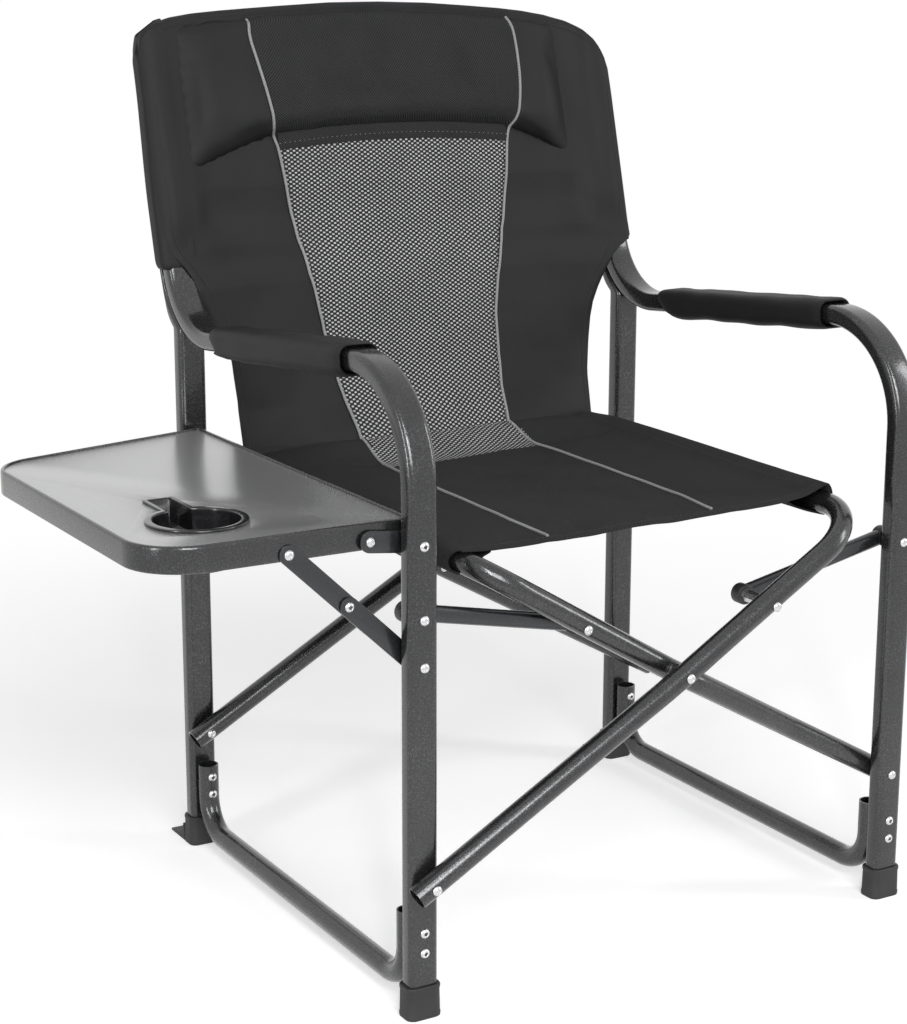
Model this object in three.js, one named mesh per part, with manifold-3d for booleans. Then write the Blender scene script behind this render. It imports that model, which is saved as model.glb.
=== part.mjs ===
// Folding camp chair: director's chair with a scissor base, sling seat and back, padded armrests
// and a side table that folds down. Millimetres, +Z up, the sitter faces -Y, left is -X as seen from
// the front. The origin is the middle of the footprint, on the ground.
import * as THREE from 'three';
import { mergeVertices } from 'three/addons/utils/BufferGeometryUtils.js';
import Module from 'manifold-3d';

const wasm = await Module();
wasm.setup();

// ------------------------------------------------------------------ driving dimensions
const clearance = 0.3; // between pieces that touch

// Side frames: front leg, arm and upright are one bent tube, the rear leg is a second one.
const track = 550; // between the centre planes of the side frames
const legWidth = 30; // across the chair
const legDepth = 20; // front to back
const legCorner = 6;
const tubeWall = 1.2;
const legGap = 467; // between the front leg and the rear leg
const armRise = 136; // from the table's top to where the arm's line meets the front leg's line
const armFall = 5; // degrees, the arm falls to the rear
const frontBend = 100;
const uprightSetback = 492.4; // from the front leg's line to the corner of the upright
const rearBend = 90;
const uprightLean = 15; // degrees from the vertical
const uprightTop = 872;

// Rear leg: its top is pressed flat against the back of the upright.
const tongueThickness = 5.2;
const tongueLength = 75; // from where the crimp starts
const crimpLength = 50;
const tongueRivetRises = [45, 66]; // above the start of the crimp

// Feet
const footHeight = 32;
const footWall = 2;
const footSole = 4;
const heelReach = 33;
const heelThickness = 3;
const heelRise = 20;

// Lower side rails
const railDiameter = 22;
const railHeight = 22.5;
const railBend = 38;
const railEndHeight = 96;
const railRivets = [64.5, 84];

// Scissor frames
const crossDiameter = 22;
const crossWall = 1.2;
const pivotHeight = 134;
const crossingHeight = 288.2;
const seatRailReach = 250; // from the crossing to the seat rail along the arm
const seatRailRise = 8; // the upper arms bend up by this much at the rail
const crossBend = 60;
const crossingBend = 700; // the slight bend at the crossing
const crossOverhang = 17; // tube past the lower pivot
const crossWasher = 3;
const kickFromCrossing = 40; // frame B's front arm bends back between these two, to pass behind the leg
const kickFromPivot = 130;
const kickBend = 80;

// Short links between the legs and the scissor frames
const linkRise = 91.8; // of its pivot on the leg, over the crossing
const linkArmReach = 114.2; // from the crossing along the arm
const linkWidth = 16;
const linkThickness = 12;
const linkWall = 1.3;
const linkEndRadius = 10;

// Rivets
const shankRadius = 2.9;
const headRadius = 4.8;
const headHeight = 2.4;
const tailRadius = 4.2;
const tailHeight = 1.9;
const spacerRadius = 6.5;

// Side table
const tableInner = 272; // distance of the inner edge from the chair's middle
const tableOuter = 524;
const tableFrontGap = 5.2; // behind the front leg
const tableRearGap = 5.2; // ahead of the rear leg, at the inner corner
const tableTaper = 14.4; // degrees, the rear edge runs forward
const tableTop = 468;
const tableBand = 24;
const tableWall = 1.5;
const tableLip = 4;
const tableCorner = 55;
const tableInnerCorner = 7;
const panelThickness = 4;
const cupX = 439;
const cupSetback = 88.8; // from the table's front edge
const cupOpening = 78;
const cupFlange = 92;
const cupFloor = 66;
const cupDepth = 40;
const cupWall = 1.5;
const slotWidth = 31;
const slotReach = 86;
const slotDepth = 22;

// Table brackets and folding brace
const barWidth = 18;
const barThickness = 2;
const hingeX = 317;
const hingeDrop = 16; // under the table's top
const bracketDrop = 21;
const braceTableX = 394.7;
const braceTableDrop = 18;
const braceUnderLink = 43.6; // of its pivot on the leg, under the link's
const kneeShare = 0.528; // of the brace's length, measured from the leg
const braceTail = 30; // upper bar past the knee

// Soft goods
const sleeveFromBend = 1.5; // armrest sleeve, on the straight run between the bends
const sleeveHalfWidth = 22;
const sleeveOver = 4.5;
const seatThickness = 3;
const seatSag = 9;
const seatFront = 38;
const seatRear = 449;
const hemThickness = 2.1;
const backThickness = 6;
const backFront = 3.2; // fabric ahead of the upright's front face
const pocketSide = 2.4; // fabric outside the upright
const pocketGap = 4; // from the rear leg's tip to the pocket's edge
const backCap = 13; // fabric over the upright's end
const backFoot = 450; // front of the back's lower edge, just behind the seat
const backFootHalf = 208;
const backFootRise = 4; // over the seat
const headrestHalfWidth = 228;
const headrestHeight = 132;
const headrestDrop = 5; // under the back's top
const headrestThickness = 20;

// ------------------------------------------------------------------ derived positions
const rad = THREE.MathUtils.degToRad;
const sideX = track / 2;
const armHeight = tableTop + armRise;
const rearLegFront = legDepth + legGap;
const rearLegRear = rearLegFront + legDepth;
const legFoot = footSole + clearance;
const boreRadius = shankRadius + clearance;
const railRadius = railDiameter / 2;
const crossRadius = crossDiameter / 2;
const railFrontY = legDepth + clearance + railRadius;
const railRearY = rearLegFront - clearance - railRadius;

// Scissor: frame A lies ahead of the legs, frame B behind the front leg and ahead of the rear one.
const armA = new THREE.Vector2(sideX, crossingHeight - pivotHeight);
const armLength = armA.length();
const scissorAngle = Math.atan2(armA.x, armA.y);
const frontA = -clearance - crossRadius;
const frontB = crossWasher + clearance + crossRadius;
const rearA = rearLegFront - clearance - crossRadius;
const rearB = rearA - crossDiameter - crossWasher - 2 * clearance;
const kickB = legDepth + clearance + crossRadius; // behind the front leg

// Links: the front pair behind frame B, the rear pair on either side of frame A's rear arm.
const linkFront = frontB + crossRadius + 0.7;
const linkRearLeft = rearB + crossRadius + 0.7;
const linkRearRight = rearA - crossRadius - 0.7 - linkThickness;
const linkLegHeight = crossingHeight + linkRise;
const braceLegHeight = linkLegHeight - braceUnderLink;
const linkArmX = linkArmReach * Math.sin(scissorAngle);
const linkArmHeight = crossingHeight + linkArmReach * Math.cos(scissorAngle);

// Table and brace
const tableFront = legDepth + tableFrontGap;
const tableRear = rearLegFront - tableRearGap;
const tableBottom = tableTop - tableBand;
const cupY = tableFront + cupSetback;
const lowerBarY = legDepth + clearance + 0.1;
const upperBarY = lowerBarY + barThickness + 0.4;
const hingeHeight = tableTop - hingeDrop;
const bracketHeight = tableTop - bracketDrop;
const braceTableHeight = tableTop - braceTableDrop;
const kneeX = THREE.MathUtils.lerp(sideX, braceTableX, kneeShare);
const kneeHeight = THREE.MathUtils.lerp(braceLegHeight, braceTableHeight, kneeShare);

// ------------------------------------------------------------------ materials
const material = (color, roughness, metalness) =>
  new THREE.MeshStandardMaterial({ color, roughness, metalness });
const paint = material(0x3b3c3e, 0.34, 0.7);
const paintLight = material(0x45474a, 0.32, 0.7);
const aluminium = material(0xc9cbce, 0.28, 1);
const blackPlastic = material(0x141415, 0.5, 0);
const rubber = material(0x2b2c2e, 0.75, 0);
const fabric = material(0x17181a, 0.92, 0);
const mesh3d = material(0x202123, 0.85, 0);
const tableGrey = material(0x9a9c9f, 0.3, 0.1);
const glossBlack = material(0x0d0d0e, 0.22, 0);

// ------------------------------------------------------------------ geometry helpers
// Merges shared corners and drops the triangles that collapse on an axis.
function weld(geometry) {
  const bare = new THREE.BufferGeometry();
  bare.setAttribute('position', geometry.getAttribute('position').clone());
  if (geometry.index) bare.setIndex(geometry.index.clone());
  const merged = mergeVertices(bare, 1e-4);
  const corners = merged.index.array;
  const kept = [];
  for (let i = 0; i < corners.length; i += 3) {
    const [a, b, c] = [corners[i], corners[i + 1], corners[i + 2]];
    if (a !== b && b !== c && c !== a) kept.push(a, b, c);
  }
  merged.setIndex(kept);
  return merged;
}

function solid(geometry) {
  const welded = weld(geometry);
  const vertProperties = new Float32Array(welded.getAttribute('position').array);
  const triVerts = new Uint32Array(welded.index.array);
  return new wasm.Manifold(new wasm.Mesh({ numProp: 3, vertProperties, triVerts }));
}

function surface(body) {
  const { vertProperties, triVerts } = body.getMesh();
  const geometry = new THREE.BufferGeometry();
  geometry.setAttribute('position', new THREE.BufferAttribute(vertProperties, 3));
  geometry.setIndex(new THREE.BufferAttribute(triVerts, 1));
  return geometry;
}

const cut = (body, tools) => tools.reduce((left, tool) => left.subtract(tool), body);
const join = (bodies) => bodies.reduce((sum, body) => sum.add(body));

// Straight runs joined by round bends. Only the ends, the bends and plain marks are stations, so
// a straight run costs a single step. side is the section's own x axis.
class BentPath extends THREE.Curve {
  constructor(corners, side) {
    super();
    this.side = side;
    this.stations = [];
    corners.forEach((corner, i) => {
      const before = corners[i - 1];
      const after = corners[i + 1];
      const into = before && corner.at.clone().sub(before.at).normalize();
      const out = after && after.at.clone().sub(corner.at).normalize();
      if (!into || !out || !corner.radius) {
        this.stations.push({ point: corner.at.clone(), tangent: (into || out).clone() });
        return;
      }
      const turn = into.angleTo(out);
      const inward = out.clone().addScaledVector(into, -Math.cos(turn)).normalize();
      const start = corner.at.clone().addScaledVector(into, -corner.radius * Math.tan(turn / 2));
      const centre = start.clone().addScaledVector(inward, corner.radius);
      for (let step = 0; step <= corner.steps; step += 1) {
        const angle = (turn * step) / corner.steps;
        const point = centre
          .clone()
          .addScaledVector(inward, -corner.radius * Math.cos(angle))
          .addScaledVector(into, corner.radius * Math.sin(angle));
        const tangent = into.clone().multiplyScalar(Math.cos(angle));
        tangent.addScaledVector(inward, Math.sin(angle));
        this.stations.push({ point, tangent });
      }
    });
  }

  station(u) {
    return this.stations[Math.round(u * (this.stations.length - 1))];
  }

  getPointAt(u, target = new THREE.Vector3()) {
    return target.copy(this.station(u).point);
  }

  getTangentAt(u, target = new THREE.Vector3()) {
    return target.copy(this.station(u).tangent);
  }

  computeFrenetFrames() {
    const frames = { tangents: [], normals: [], binormals: [] };
    const normal = this.side.clone();
    this.stations.forEach(({ tangent }) => {
      normal.addScaledVector(tangent, -normal.dot(tangent)).normalize();
      frames.tangents.push(tangent.clone());
      frames.normals.push(normal.clone());
      frames.binormals.push(new THREE.Vector3().crossVectors(tangent, normal));
    });
    return frames;
  }
}

function sweep(path, outline, bore) {
  const section = new THREE.Shape(outline);
  if (bore) section.holes.push(new THREE.Path(bore));
  const steps = path.stations.length - 1;
  return new THREE.ExtrudeGeometry(section, { steps, extrudePath: path, bevelEnabled: false });
}

const ring = (radius, count, turn = 0) =>
  Array.from({ length: count }, (_, i) => {
    const angle = turn + (2 * Math.PI * i) / count;
    return new THREE.Vector2(radius * Math.cos(angle), radius * Math.sin(angle));
  });

// Rectangle with rounded corners, each corner drawn with the given number of points.
function roundedBox(width, depth, radius, points) {
  const outline = [];
  const r = Math.min(radius, width / 2 - 0.05, depth / 2 - 0.05);
  [[1, 1], [-1, 1], [-1, -1], [1, -1]].forEach(([sx, sy], quarter) => {
    const cx = sx * (width / 2 - r);
    const cy = sy * (depth / 2 - r);
    for (let i = 0; i < points; i += 1) {
      const angle = (Math.PI / 2) * (quarter + i / (points - 1));
      outline.push(new THREE.Vector2(cx + r * Math.cos(angle), cy + r * Math.sin(angle)));
    }
  });
  return outline;
}

// Skin over rings of equal count that turn counter-clockwise round the way they follow each other.
function loft(rings) {
  const count = rings[0].length;
  const positions = rings.flat().flatMap((p) => [p.x, p.y, p.z]);
  const index = [];
  for (let r = 0; r + 1 < rings.length; r += 1) {
    for (let i = 0; i < count; i += 1) {
      const a = r * count + i;
      const b = r * count + ((i + 1) % count);
      index.push(a, b, b + count, a, b + count, a + count);
    }
  }
  const last = (rings.length - 1) * count;
  for (let i = 1; i + 1 < count; i += 1) {
    index.push(0, i + 1, i, last, last + i, last + i + 1);
  }
  const geometry = new THREE.BufferGeometry();
  geometry.setAttribute('position', new THREE.Float32BufferAttribute(positions, 3));
  geometry.setIndex(index);
  return geometry;
}

const at = (outline, x, y, z) => outline.map((p) => new THREE.Vector3(x + p.x, y + p.y, z));

// Plate that stands across the chair: its outline is drawn in X and Z, its front face is at y.
function plate(outline, y, thickness) {
  const options = { depth: thickness, bevelEnabled: false };
  const geometry = new THREE.ExtrudeGeometry(new THREE.Shape(outline), options);
  return geometry.rotateX(Math.PI / 2).translate(0, y + thickness, 0);
}

// Strip with round ends between two points.
function strap(x0, z0, x1, z1, width) {
  const lie = Math.atan2(z1 - z0, x1 - x0);
  const outline = [];
  [[x0, z0, lie + Math.PI / 2], [x1, z1, lie - Math.PI / 2]].forEach(([x, z, start]) => {
    for (let i = 0; i <= 6; i += 1) {
      const angle = start + (Math.PI * i) / 6;
      const reach = width / 2;
      outline.push(new THREE.Vector2(x + reach * Math.cos(angle), z + reach * Math.sin(angle)));
    }
  });
  return outline;
}

// Hole along Y.
const bore = (x, z, y0, y1, radius = boreRadius, sides = 8) =>
  solid(new THREE.CylinderGeometry(radius, radius, y1 - y0, sides).translate(x, (y0 + y1) / 2, z));

// Rivet along Y: its head seats at front, its tail at rear, with spacers between them.
function rivet(front, rear, spacers = []) {
  const profile = [
    [0, front - headHeight],
    [headRadius * 0.68, front - headHeight * 0.76],
    [headRadius, front],
    [shankRadius, front],
  ];
  spacers.forEach(([start, end, radius = spacerRadius]) => {
    profile.push([shankRadius, start], [radius, start], [radius, end], [shankRadius, end]);
  });
  profile.push(
    [shankRadius, rear],
    [tailRadius, rear],
    [0, rear + tailHeight],
  );
  return new THREE.LatheGeometry(profile.map(([r, y]) => new THREE.Vector2(r, y)), 8);
}

// ------------------------------------------------------------------ the model
const chair = new THREE.Group();

function add(name, geometry, look, x = 0, y = 0, z = 0) {
  const piece = new THREE.Mesh(weld(geometry), look);
  piece.name = name;
  piece.position.set(x, y, z);
  chair.add(piece);
  return piece;
}

// ------------------------------------------------------------------ arm frame
const rearCorner = new THREE.Vector2(
  legDepth / 2 + uprightSetback,
  armHeight - uprightSetback * Math.tan(rad(armFall)),
);
const rearTurn = rad(90 - uprightLean + armFall);
const uprightRun = new THREE.Vector2(Math.sin(rad(uprightLean)), Math.cos(rad(uprightLean)));
const uprightStart = rearCorner
  .clone()
  .addScaledVector(uprightRun, rearBend * Math.tan(rearTurn / 2));
const rearBendCentre = new THREE.Vector2(
  uprightStart.x - rearBend * uprightRun.y,
  uprightStart.y + rearBend * uprightRun.x,
);
// Middle of the upright's line at a height, also below and above the tube.
const uprightY = (z) => uprightStart.x + (z - uprightStart.y) * Math.tan(rad(uprightLean));

// Face of the upright and its bend at a height: offset is +half the depth behind, - in front.
function uprightFace(z, offset) {
  const faceStart = uprightStart.y - offset * uprightRun.x;
  if (z >= faceStart) return uprightY(z) + offset / uprightRun.y;
  const reach = rearBend + offset;
  return rearBendCentre.x + Math.sqrt(reach ** 2 - (rearBendCentre.y - z) ** 2);
}

function armPath() {
  const point = (y, z) => new THREE.Vector3(0, y, z);
  return new BentPath(
    [
      { at: point(legDepth / 2, legFoot) },
      { at: point(legDepth / 2, armHeight), radius: frontBend, steps: 6 },
      { at: point(rearCorner.x, rearCorner.y), radius: rearBend, steps: 6 },
      { at: point(uprightY(uprightTop), uprightTop) },
    ],
    new THREE.Vector3(1, 0, 0),
  );
}

// The rear leg follows the bend's rear face with short flats, so it keeps a little off it.
const tongueGap = 2 * clearance;
const crimpStart =
  rearBendCentre.y -
  Math.sqrt((rearBend + legDepth / 2) ** 2 - (rearLegFront - tongueGap - rearBendCentre.x) ** 2);
const tongueTop = crimpStart + tongueLength;
const tongueRivets = tongueRivetRises.map((rise) => crimpStart + rise);

// Turned square to the upright's faces, through a point on its rear face.
function squareToUpright(geometry, z) {
  const y = uprightFace(z, legDepth / 2);
  return geometry.rotateX(-rad(uprightLean)).translate(0, y, z);
}

function armFrame(heights) {
  const outline = roundedBox(legWidth, legDepth, legCorner, 3);
  const wall = 2 * tubeWall;
  const hollow = roundedBox(legWidth - wall, legDepth - wall, legCorner - tubeWall, 2);
  const holes = heights.map((z) => bore(0, z, -1, legDepth + 1));
  tongueRivets.forEach((z) => {
    const hole = new THREE.CylinderGeometry(boreRadius, boreRadius, legDepth, 8);
    holes.push(solid(squareToUpright(hole, z)));
  });
  return surface(cut(solid(sweep(armPath(), outline, hollow)), holes));
}

// ------------------------------------------------------------------ rear leg
function rearLegRing(z) {
  const pressed = THREE.MathUtils.smoothstep(z, crimpStart, crimpStart + crimpLength);
  const depth = THREE.MathUtils.lerp(legDepth, tongueThickness, pressed);
  const front = z <= crimpStart ? rearLegFront : uprightFace(z, legDepth / 2) + tongueGap;
  return at(roundedBox(legWidth, depth, legCorner, 3), 0, front + depth / 2, z);
}

function rearLeg(heights) {
  const bendHeights = [0.16, 0.36, 0.56, 0.78, 1.04].map((share) => crimpStart + share * crimpLength);
  const rings = [legFoot, crimpStart, ...bendHeights, tongueTop].map(rearLegRing);
  const wall = 2 * tubeWall;
  const inside = roundedBox(legWidth - wall, legDepth - wall, legCorner - tubeWall, 2);
  const middle = rearLegFront + legDepth / 2;
  const hollow = loft([at(inside, 0, middle, legFoot - 1), at(inside, 0, middle, crimpStart - 2)]);
  const holes = heights.map((z) => bore(0, z, rearLegFront - 1, rearLegRear + 1));
  const rivets = tongueRivets.map((z) => {
    const profile = [
      [0, -tubeWall - 3],
      [shankRadius, -tubeWall - 3],
      [shankRadius, tongueThickness],
      [headRadius, tongueThickness],
      [headRadius, tongueThickness + 0.9],
      [headRadius * 0.68, tongueThickness + headHeight],
      [0, tongueThickness + headHeight + 0.6],
    ];
    const body = new THREE.LatheGeometry(profile.map(([r, y]) => new THREE.Vector2(r, y)), 8);
    return solid(squareToUpright(body, z));
  });
  return surface(join([cut(solid(loft(rings)), [solid(hollow), ...holes]), ...rivets]));
}

// ------------------------------------------------------------------ feet
// Moulded boot: a socket for the leg on a thick sole, a little wider at the ground.
function boot(middle) {
  const socket = 2 * (footWall + clearance);
  const tread = roundedBox(legWidth + socket + 1.4, legDepth + socket + 1.4, legCorner + 2, 3);
  const rim = roundedBox(legWidth + socket, legDepth + socket, legCorner + 2, 3);
  const body = loft([at(tread, 0, middle, 0), at(tread, 0, middle, footSole), at(rim, 0, middle, footHeight)]);
  const fit = 2 * clearance;
  const seat = roundedBox(legWidth + fit, legDepth + fit, legCorner + clearance, 3);
  const pocket = loft([at(seat, 0, middle, footSole), at(seat, 0, middle, footHeight + 1)]);
  return cut(solid(body), [solid(pocket)]);
}

const frontFoot = () => surface(boot(legDepth / 2));

// The rear boot has a heel plate that spreads behind the leg, with a sloping web over it.
function rearFoot() {
  const back = rearLegRear + footWall;
  const profile = [
    [back - 2, 0],
    [back + heelReach, 0],
    [back + heelReach, heelThickness],
    [back + 9, heelThickness + 3],
    [back, heelRise],
    [back - 2, heelRise],
  ].map(([y, z]) => new THREE.Vector3(0, y, z));
  const half = (legWidth + 2 * footWall) / 2;
  const heel = loft([-half, half].map((x) => profile.map((p) => p.clone().setX(x))));
  return surface(join([boot(rearLegFront + legDepth / 2), solid(heel)]).subtract(rearSocket()));
}

function rearSocket() {
  const fit = 2 * clearance;
  const seat = roundedBox(legWidth + fit, legDepth + fit, legCorner + clearance, 3);
  const middle = rearLegFront + legDepth / 2;
  return solid(loft([at(seat, 0, middle, footSole), at(seat, 0, middle, footHeight + 1)]));
}

// ------------------------------------------------------------------ lower side rail
// A tube bent up at both ends, riveted behind the front leg and ahead of the rear one.
function lowerRail() {
  const point = (y, z) => new THREE.Vector3(0, y, z);
  const path = new BentPath(
    [
      { at: point(railFrontY, railEndHeight) },
      { at: point(railFrontY, railHeight), radius: railBend, steps: 4 },
      { at: point(railRearY, railHeight), radius: railBend, steps: 4 },
      { at: point(railRearY, railEndHeight) },
    ],
    new THREE.Vector3(1, 0, 0),
  );
  const tube = solid(sweep(path, ring(railRadius, 10), ring(railRadius - tubeWall, 6)));
  const rivets = railRivets.flatMap((z) => [
    rivet(-clearance, railFrontY + railRadius - 0.4).translate(0, 0, z),
    rivet(railRearY - railRadius + 0.4, rearLegRear + clearance).translate(0, 0, z),
  ]);
  return surface(join([tube, ...rivets.map(solid)]));
}

// ------------------------------------------------------------------ side frames
const commonHeights = [...railRivets, pivotHeight, linkLegHeight];
const tableHeights = { front: [braceLegHeight, bracketHeight], rear: [bracketHeight] };

function sideFrame(side, x) {
  const extra = side === 'left' ? tableHeights : { front: [], rear: [] };
  add(`arm_frame_${side}`, armFrame([...commonHeights, ...extra.front]), paint, x);
  add(`rear_leg_${side}`, rearLeg([...commonHeights, ...extra.rear]), paint, x);
  add(`lower_rail_${side}`, lowerRail(), paint, x);
  add(`front_foot_${side}`, frontFoot(), rubber, x);
  add(`rear_foot_${side}`, rearFoot(), rubber, x);
  add(`armrest_sleeve_${side}`, armrestSleeve(), fabric, x);
}

// Padded sleeve round the arm.
function armrestSleeve() {
  const fall = rad(armFall);
  const point = (y) => new THREE.Vector3(0, y, armHeight - (y - legDepth / 2) * Math.tan(fall));
  const frontRun = frontBend * Math.tan(rad(90 + armFall) / 2) * Math.cos(fall);
  const rearRun = rearBend * Math.tan(rearTurn / 2) * Math.cos(fall);
  const ends = [legDepth / 2 + frontRun + sleeveFromBend, rearCorner.x - rearRun - sleeveFromBend];
  const path = new BentPath(ends.map((y) => ({ at: point(y) })), new THREE.Vector3(1, 0, 0));
  const outline = roundedBox(2 * sleeveHalfWidth, legDepth + 2 * sleeveOver, 11, 4);
  const fit = 2 * clearance;
  return sweep(path, outline, roundedBox(legWidth + fit, legDepth + fit, legCorner + clearance, 3));
}

sideFrame('left', -sideX);
sideFrame('right', sideX);

// ------------------------------------------------------------------ scissor frames
// Drawn in a frame of their own: x runs up the arm from the crossing, z square to it. rise is the
// side that the seat rail lies on.
// kick is where the front arm's lower end runs, if it is bent back from the arm's own plane.
function crossPath(front, rear, rise, kick) {
  const point = (x, y, z) => new THREE.Vector3(x, y, z);
  const low = -armLength - crossOverhang;
  const kicked = [
    { at: point(low, kick, 0) },
    { at: point(-armLength + kickFromPivot, kick, 0), radius: kickBend, steps: 2 },
    { at: point(-kickFromCrossing, front, 0), radius: kickBend, steps: 2 },
  ];
  return new BentPath(
    [
      ...(kick ? kicked : [{ at: point(low, front, 0) }]),
      { at: point(0, front, 0), radius: crossingBend, steps: 1 },
      { at: point(seatRailReach, front, rise), radius: crossBend, steps: 5 },
      { at: point(seatRailReach, rear, rise), radius: crossBend, steps: 5 },
      { at: point(0, rear, 0), radius: crossingBend, steps: 1 },
      { at: point(low, rear, 0) },
    ],
    new THREE.Vector3(0, 0, 1),
  );
}

const crossTube = (path) =>
  sweep(path, ring(crossRadius, 12), ring(crossRadius - crossWall, 6));

const crossHoles = (y, reaches) =>
  reaches.map((x) => bore(x, 0, y - crossRadius - 1, y + crossRadius + 1));

function crossFrame(front, rear, rise, kick) {
  const tube = crossTube(crossPath(front, rear, rise, kick));
  const holes = [
    ...crossHoles(kick || front, [-armLength]),
    ...crossHoles(front, [0, linkArmReach]),
    ...crossHoles(rear, [-armLength, 0, linkArmReach]),
  ];
  return surface(cut(solid(tube), holes));
}

function placeCross(name, geometry, turn) {
  const piece = add(name, geometry, paint, 0, 0, crossingHeight);
  piece.rotation.y = turn;
}

placeCross('cross_frame_a', crossFrame(frontA, rearA, seatRailRise, 0), scissorAngle - Math.PI / 2);
placeCross('cross_frame_b', crossFrame(frontB, rearB, -seatRailRise, kickB), -scissorAngle - Math.PI / 2);

// ------------------------------------------------------------------ rivets of the scissor
const faceGap = clearance;
const alongY = (name, geometry, look, x, z) => add(name, geometry, look, x, 0, z);

alongY(
  'pivot_rivet_front_left',
  rivet(frontA - crossRadius - faceGap, legDepth + faceGap),
  aluminium, -sideX, pivotHeight,
);
alongY(
  'pivot_rivet_rear_left',
  rivet(rearA - crossRadius - faceGap, rearLegRear + faceGap),
  aluminium, -sideX, pivotHeight,
);
alongY(
  'pivot_rivet_front_right',
  rivet(-faceGap, kickB + crossRadius + faceGap),
  aluminium, sideX, pivotHeight,
);
alongY(
  'pivot_rivet_rear_right',
  rivet(rearB - crossRadius - faceGap, rearLegRear + faceGap, [
    [rearB + crossRadius + faceGap, rearLegFront - faceGap],
  ]),
  aluminium, sideX, pivotHeight,
);
alongY(
  'centre_rivet_front',
  rivet(frontA - crossRadius - faceGap, frontB + crossRadius + faceGap, [
    [frontA + crossRadius + faceGap, frontB - crossRadius - faceGap, 9],
  ]),
  aluminium, 0, crossingHeight,
);
alongY(
  'centre_rivet_rear',
  rivet(rearB - crossRadius - faceGap, rearA + crossRadius + faceGap, [
    [rearB + crossRadius + faceGap, rearA - crossRadius - faceGap, 9],
  ]),
  aluminium, 0, crossingHeight,
);

// ------------------------------------------------------------------ links
const linkLength = Math.hypot(sideX - linkArmX, linkLegHeight - linkArmHeight);
const linkLie = Math.atan2(linkArmHeight - linkLegHeight, sideX - linkArmX);

// Flat oval tube between two moulded ends; drawn along +X from the leg's pivot.
function linkTube() {
  const start = linkEndRadius * 0.7;
  const point = (x) => new THREE.Vector3(x, 0, 0);
  const path = new BentPath([{ at: point(start) }, { at: point(linkLength - start) }], new THREE.Vector3(0, 1, 0));
  const thin = 2 * linkWall;
  const outline = roundedBox(linkThickness, linkWidth, 5.5, 3);
  const inside = roundedBox(linkThickness - thin, linkWidth - thin, 5.5 - linkWall, 2);
  const ends = [0, linkLength].map((x) =>
    bore(x, 0, -linkThickness, linkThickness, linkEndRadius + clearance, 14),
  );
  return surface(cut(solid(sweep(path, outline, inside)), ends));
}

// The moulded end: a round boss with the pivot's hole; at the arm's end it carries the closing
// head of the rivet on the far side.
function linkEnd(headSide) {
  const half = linkThickness / 2;
  const boss = solid(new THREE.CylinderGeometry(linkEndRadius, linkEndRadius, linkThickness, 14));
  if (!headSide) return surface(boss.subtract(bore(0, 0, -half - 1, half + 1)));
  const profile = [
    [0, half - 1],
    [tailRadius, half - 1],
    [tailRadius, half + 0.3],
    [tailRadius * 0.68, half + tailHeight],
    [0, half + tailHeight + 0.3],
  ];
  const head = new THREE.LatheGeometry(profile.map(([r, y]) => new THREE.Vector2(r, y)), 8);
  if (headSide < 0) head.rotateX(Math.PI);
  return surface(join([boss, solid(head)]));
}

function link(name, mirror, planeStart, headSide) {
  const middle = planeStart + linkThickness / 2;
  const group = new THREE.Group();
  group.position.set(mirror * sideX, middle, linkLegHeight);
  group.rotation.y = mirror < 0 ? -linkLie : Math.PI + linkLie;
  const pieces = [
    [`${name}_tube`, linkTube(), paintLight, 0],
    [`${name}_leg_end`, linkEnd(0), blackPlastic, 0],
    [`${name}_arm_end`, linkEnd(headSide), blackPlastic, linkLength],
  ];
  pieces.forEach(([pieceName, geometry, look, x]) => {
    const piece = new THREE.Mesh(weld(geometry), look);
    piece.name = pieceName;
    piece.position.x = x;
    group.add(piece);
  });
  chair.add(group);
}

link('link_front_left', -1, linkFront, 1);
link('link_front_right', 1, linkFront, 1);
link('link_rear_left', -1, linkRearLeft, 1);
link('link_rear_right', 1, linkRearRight, -1);

// Leg rivets of the links, each with a spacer between the leg and the link.
const linkBack = linkFront + linkThickness;
['left', 'right'].forEach((side, i) => {
  const x = i ? sideX : -sideX;
  const rearPlane = i ? linkRearRight : linkRearLeft;
  alongY(
    `link_leg_rivet_front_${side}`,
    rivet(-faceGap, linkBack + faceGap, [[legDepth + faceGap, linkFront - faceGap]]),
    aluminium, x, linkLegHeight,
  );
  alongY(
    `link_leg_rivet_rear_${side}`,
    rivet(rearPlane - faceGap, rearLegRear + faceGap, [
      [rearPlane + linkThickness + faceGap, rearLegFront - faceGap],
    ]),
    aluminium, x, linkLegHeight,
  );
});

// Arm rivets of the links: they end just before the link, which carries the closing head.
function armRivet(front, rear, spacers) {
  const profile = [
    [0, front - headHeight],
    [headRadius * 0.68, front - headHeight * 0.76],
    [headRadius, front],
    [shankRadius, front],
    ...spacers.flatMap(([start, end]) => [[shankRadius, start], [spacerRadius, start], [spacerRadius, end]]),
  ];
  if (!spacers.length) profile.push([shankRadius, rear]);
  profile.push([0, rear]);
  return new THREE.LatheGeometry(profile.map(([r, y]) => new THREE.Vector2(r, y)), 8);
}

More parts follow.
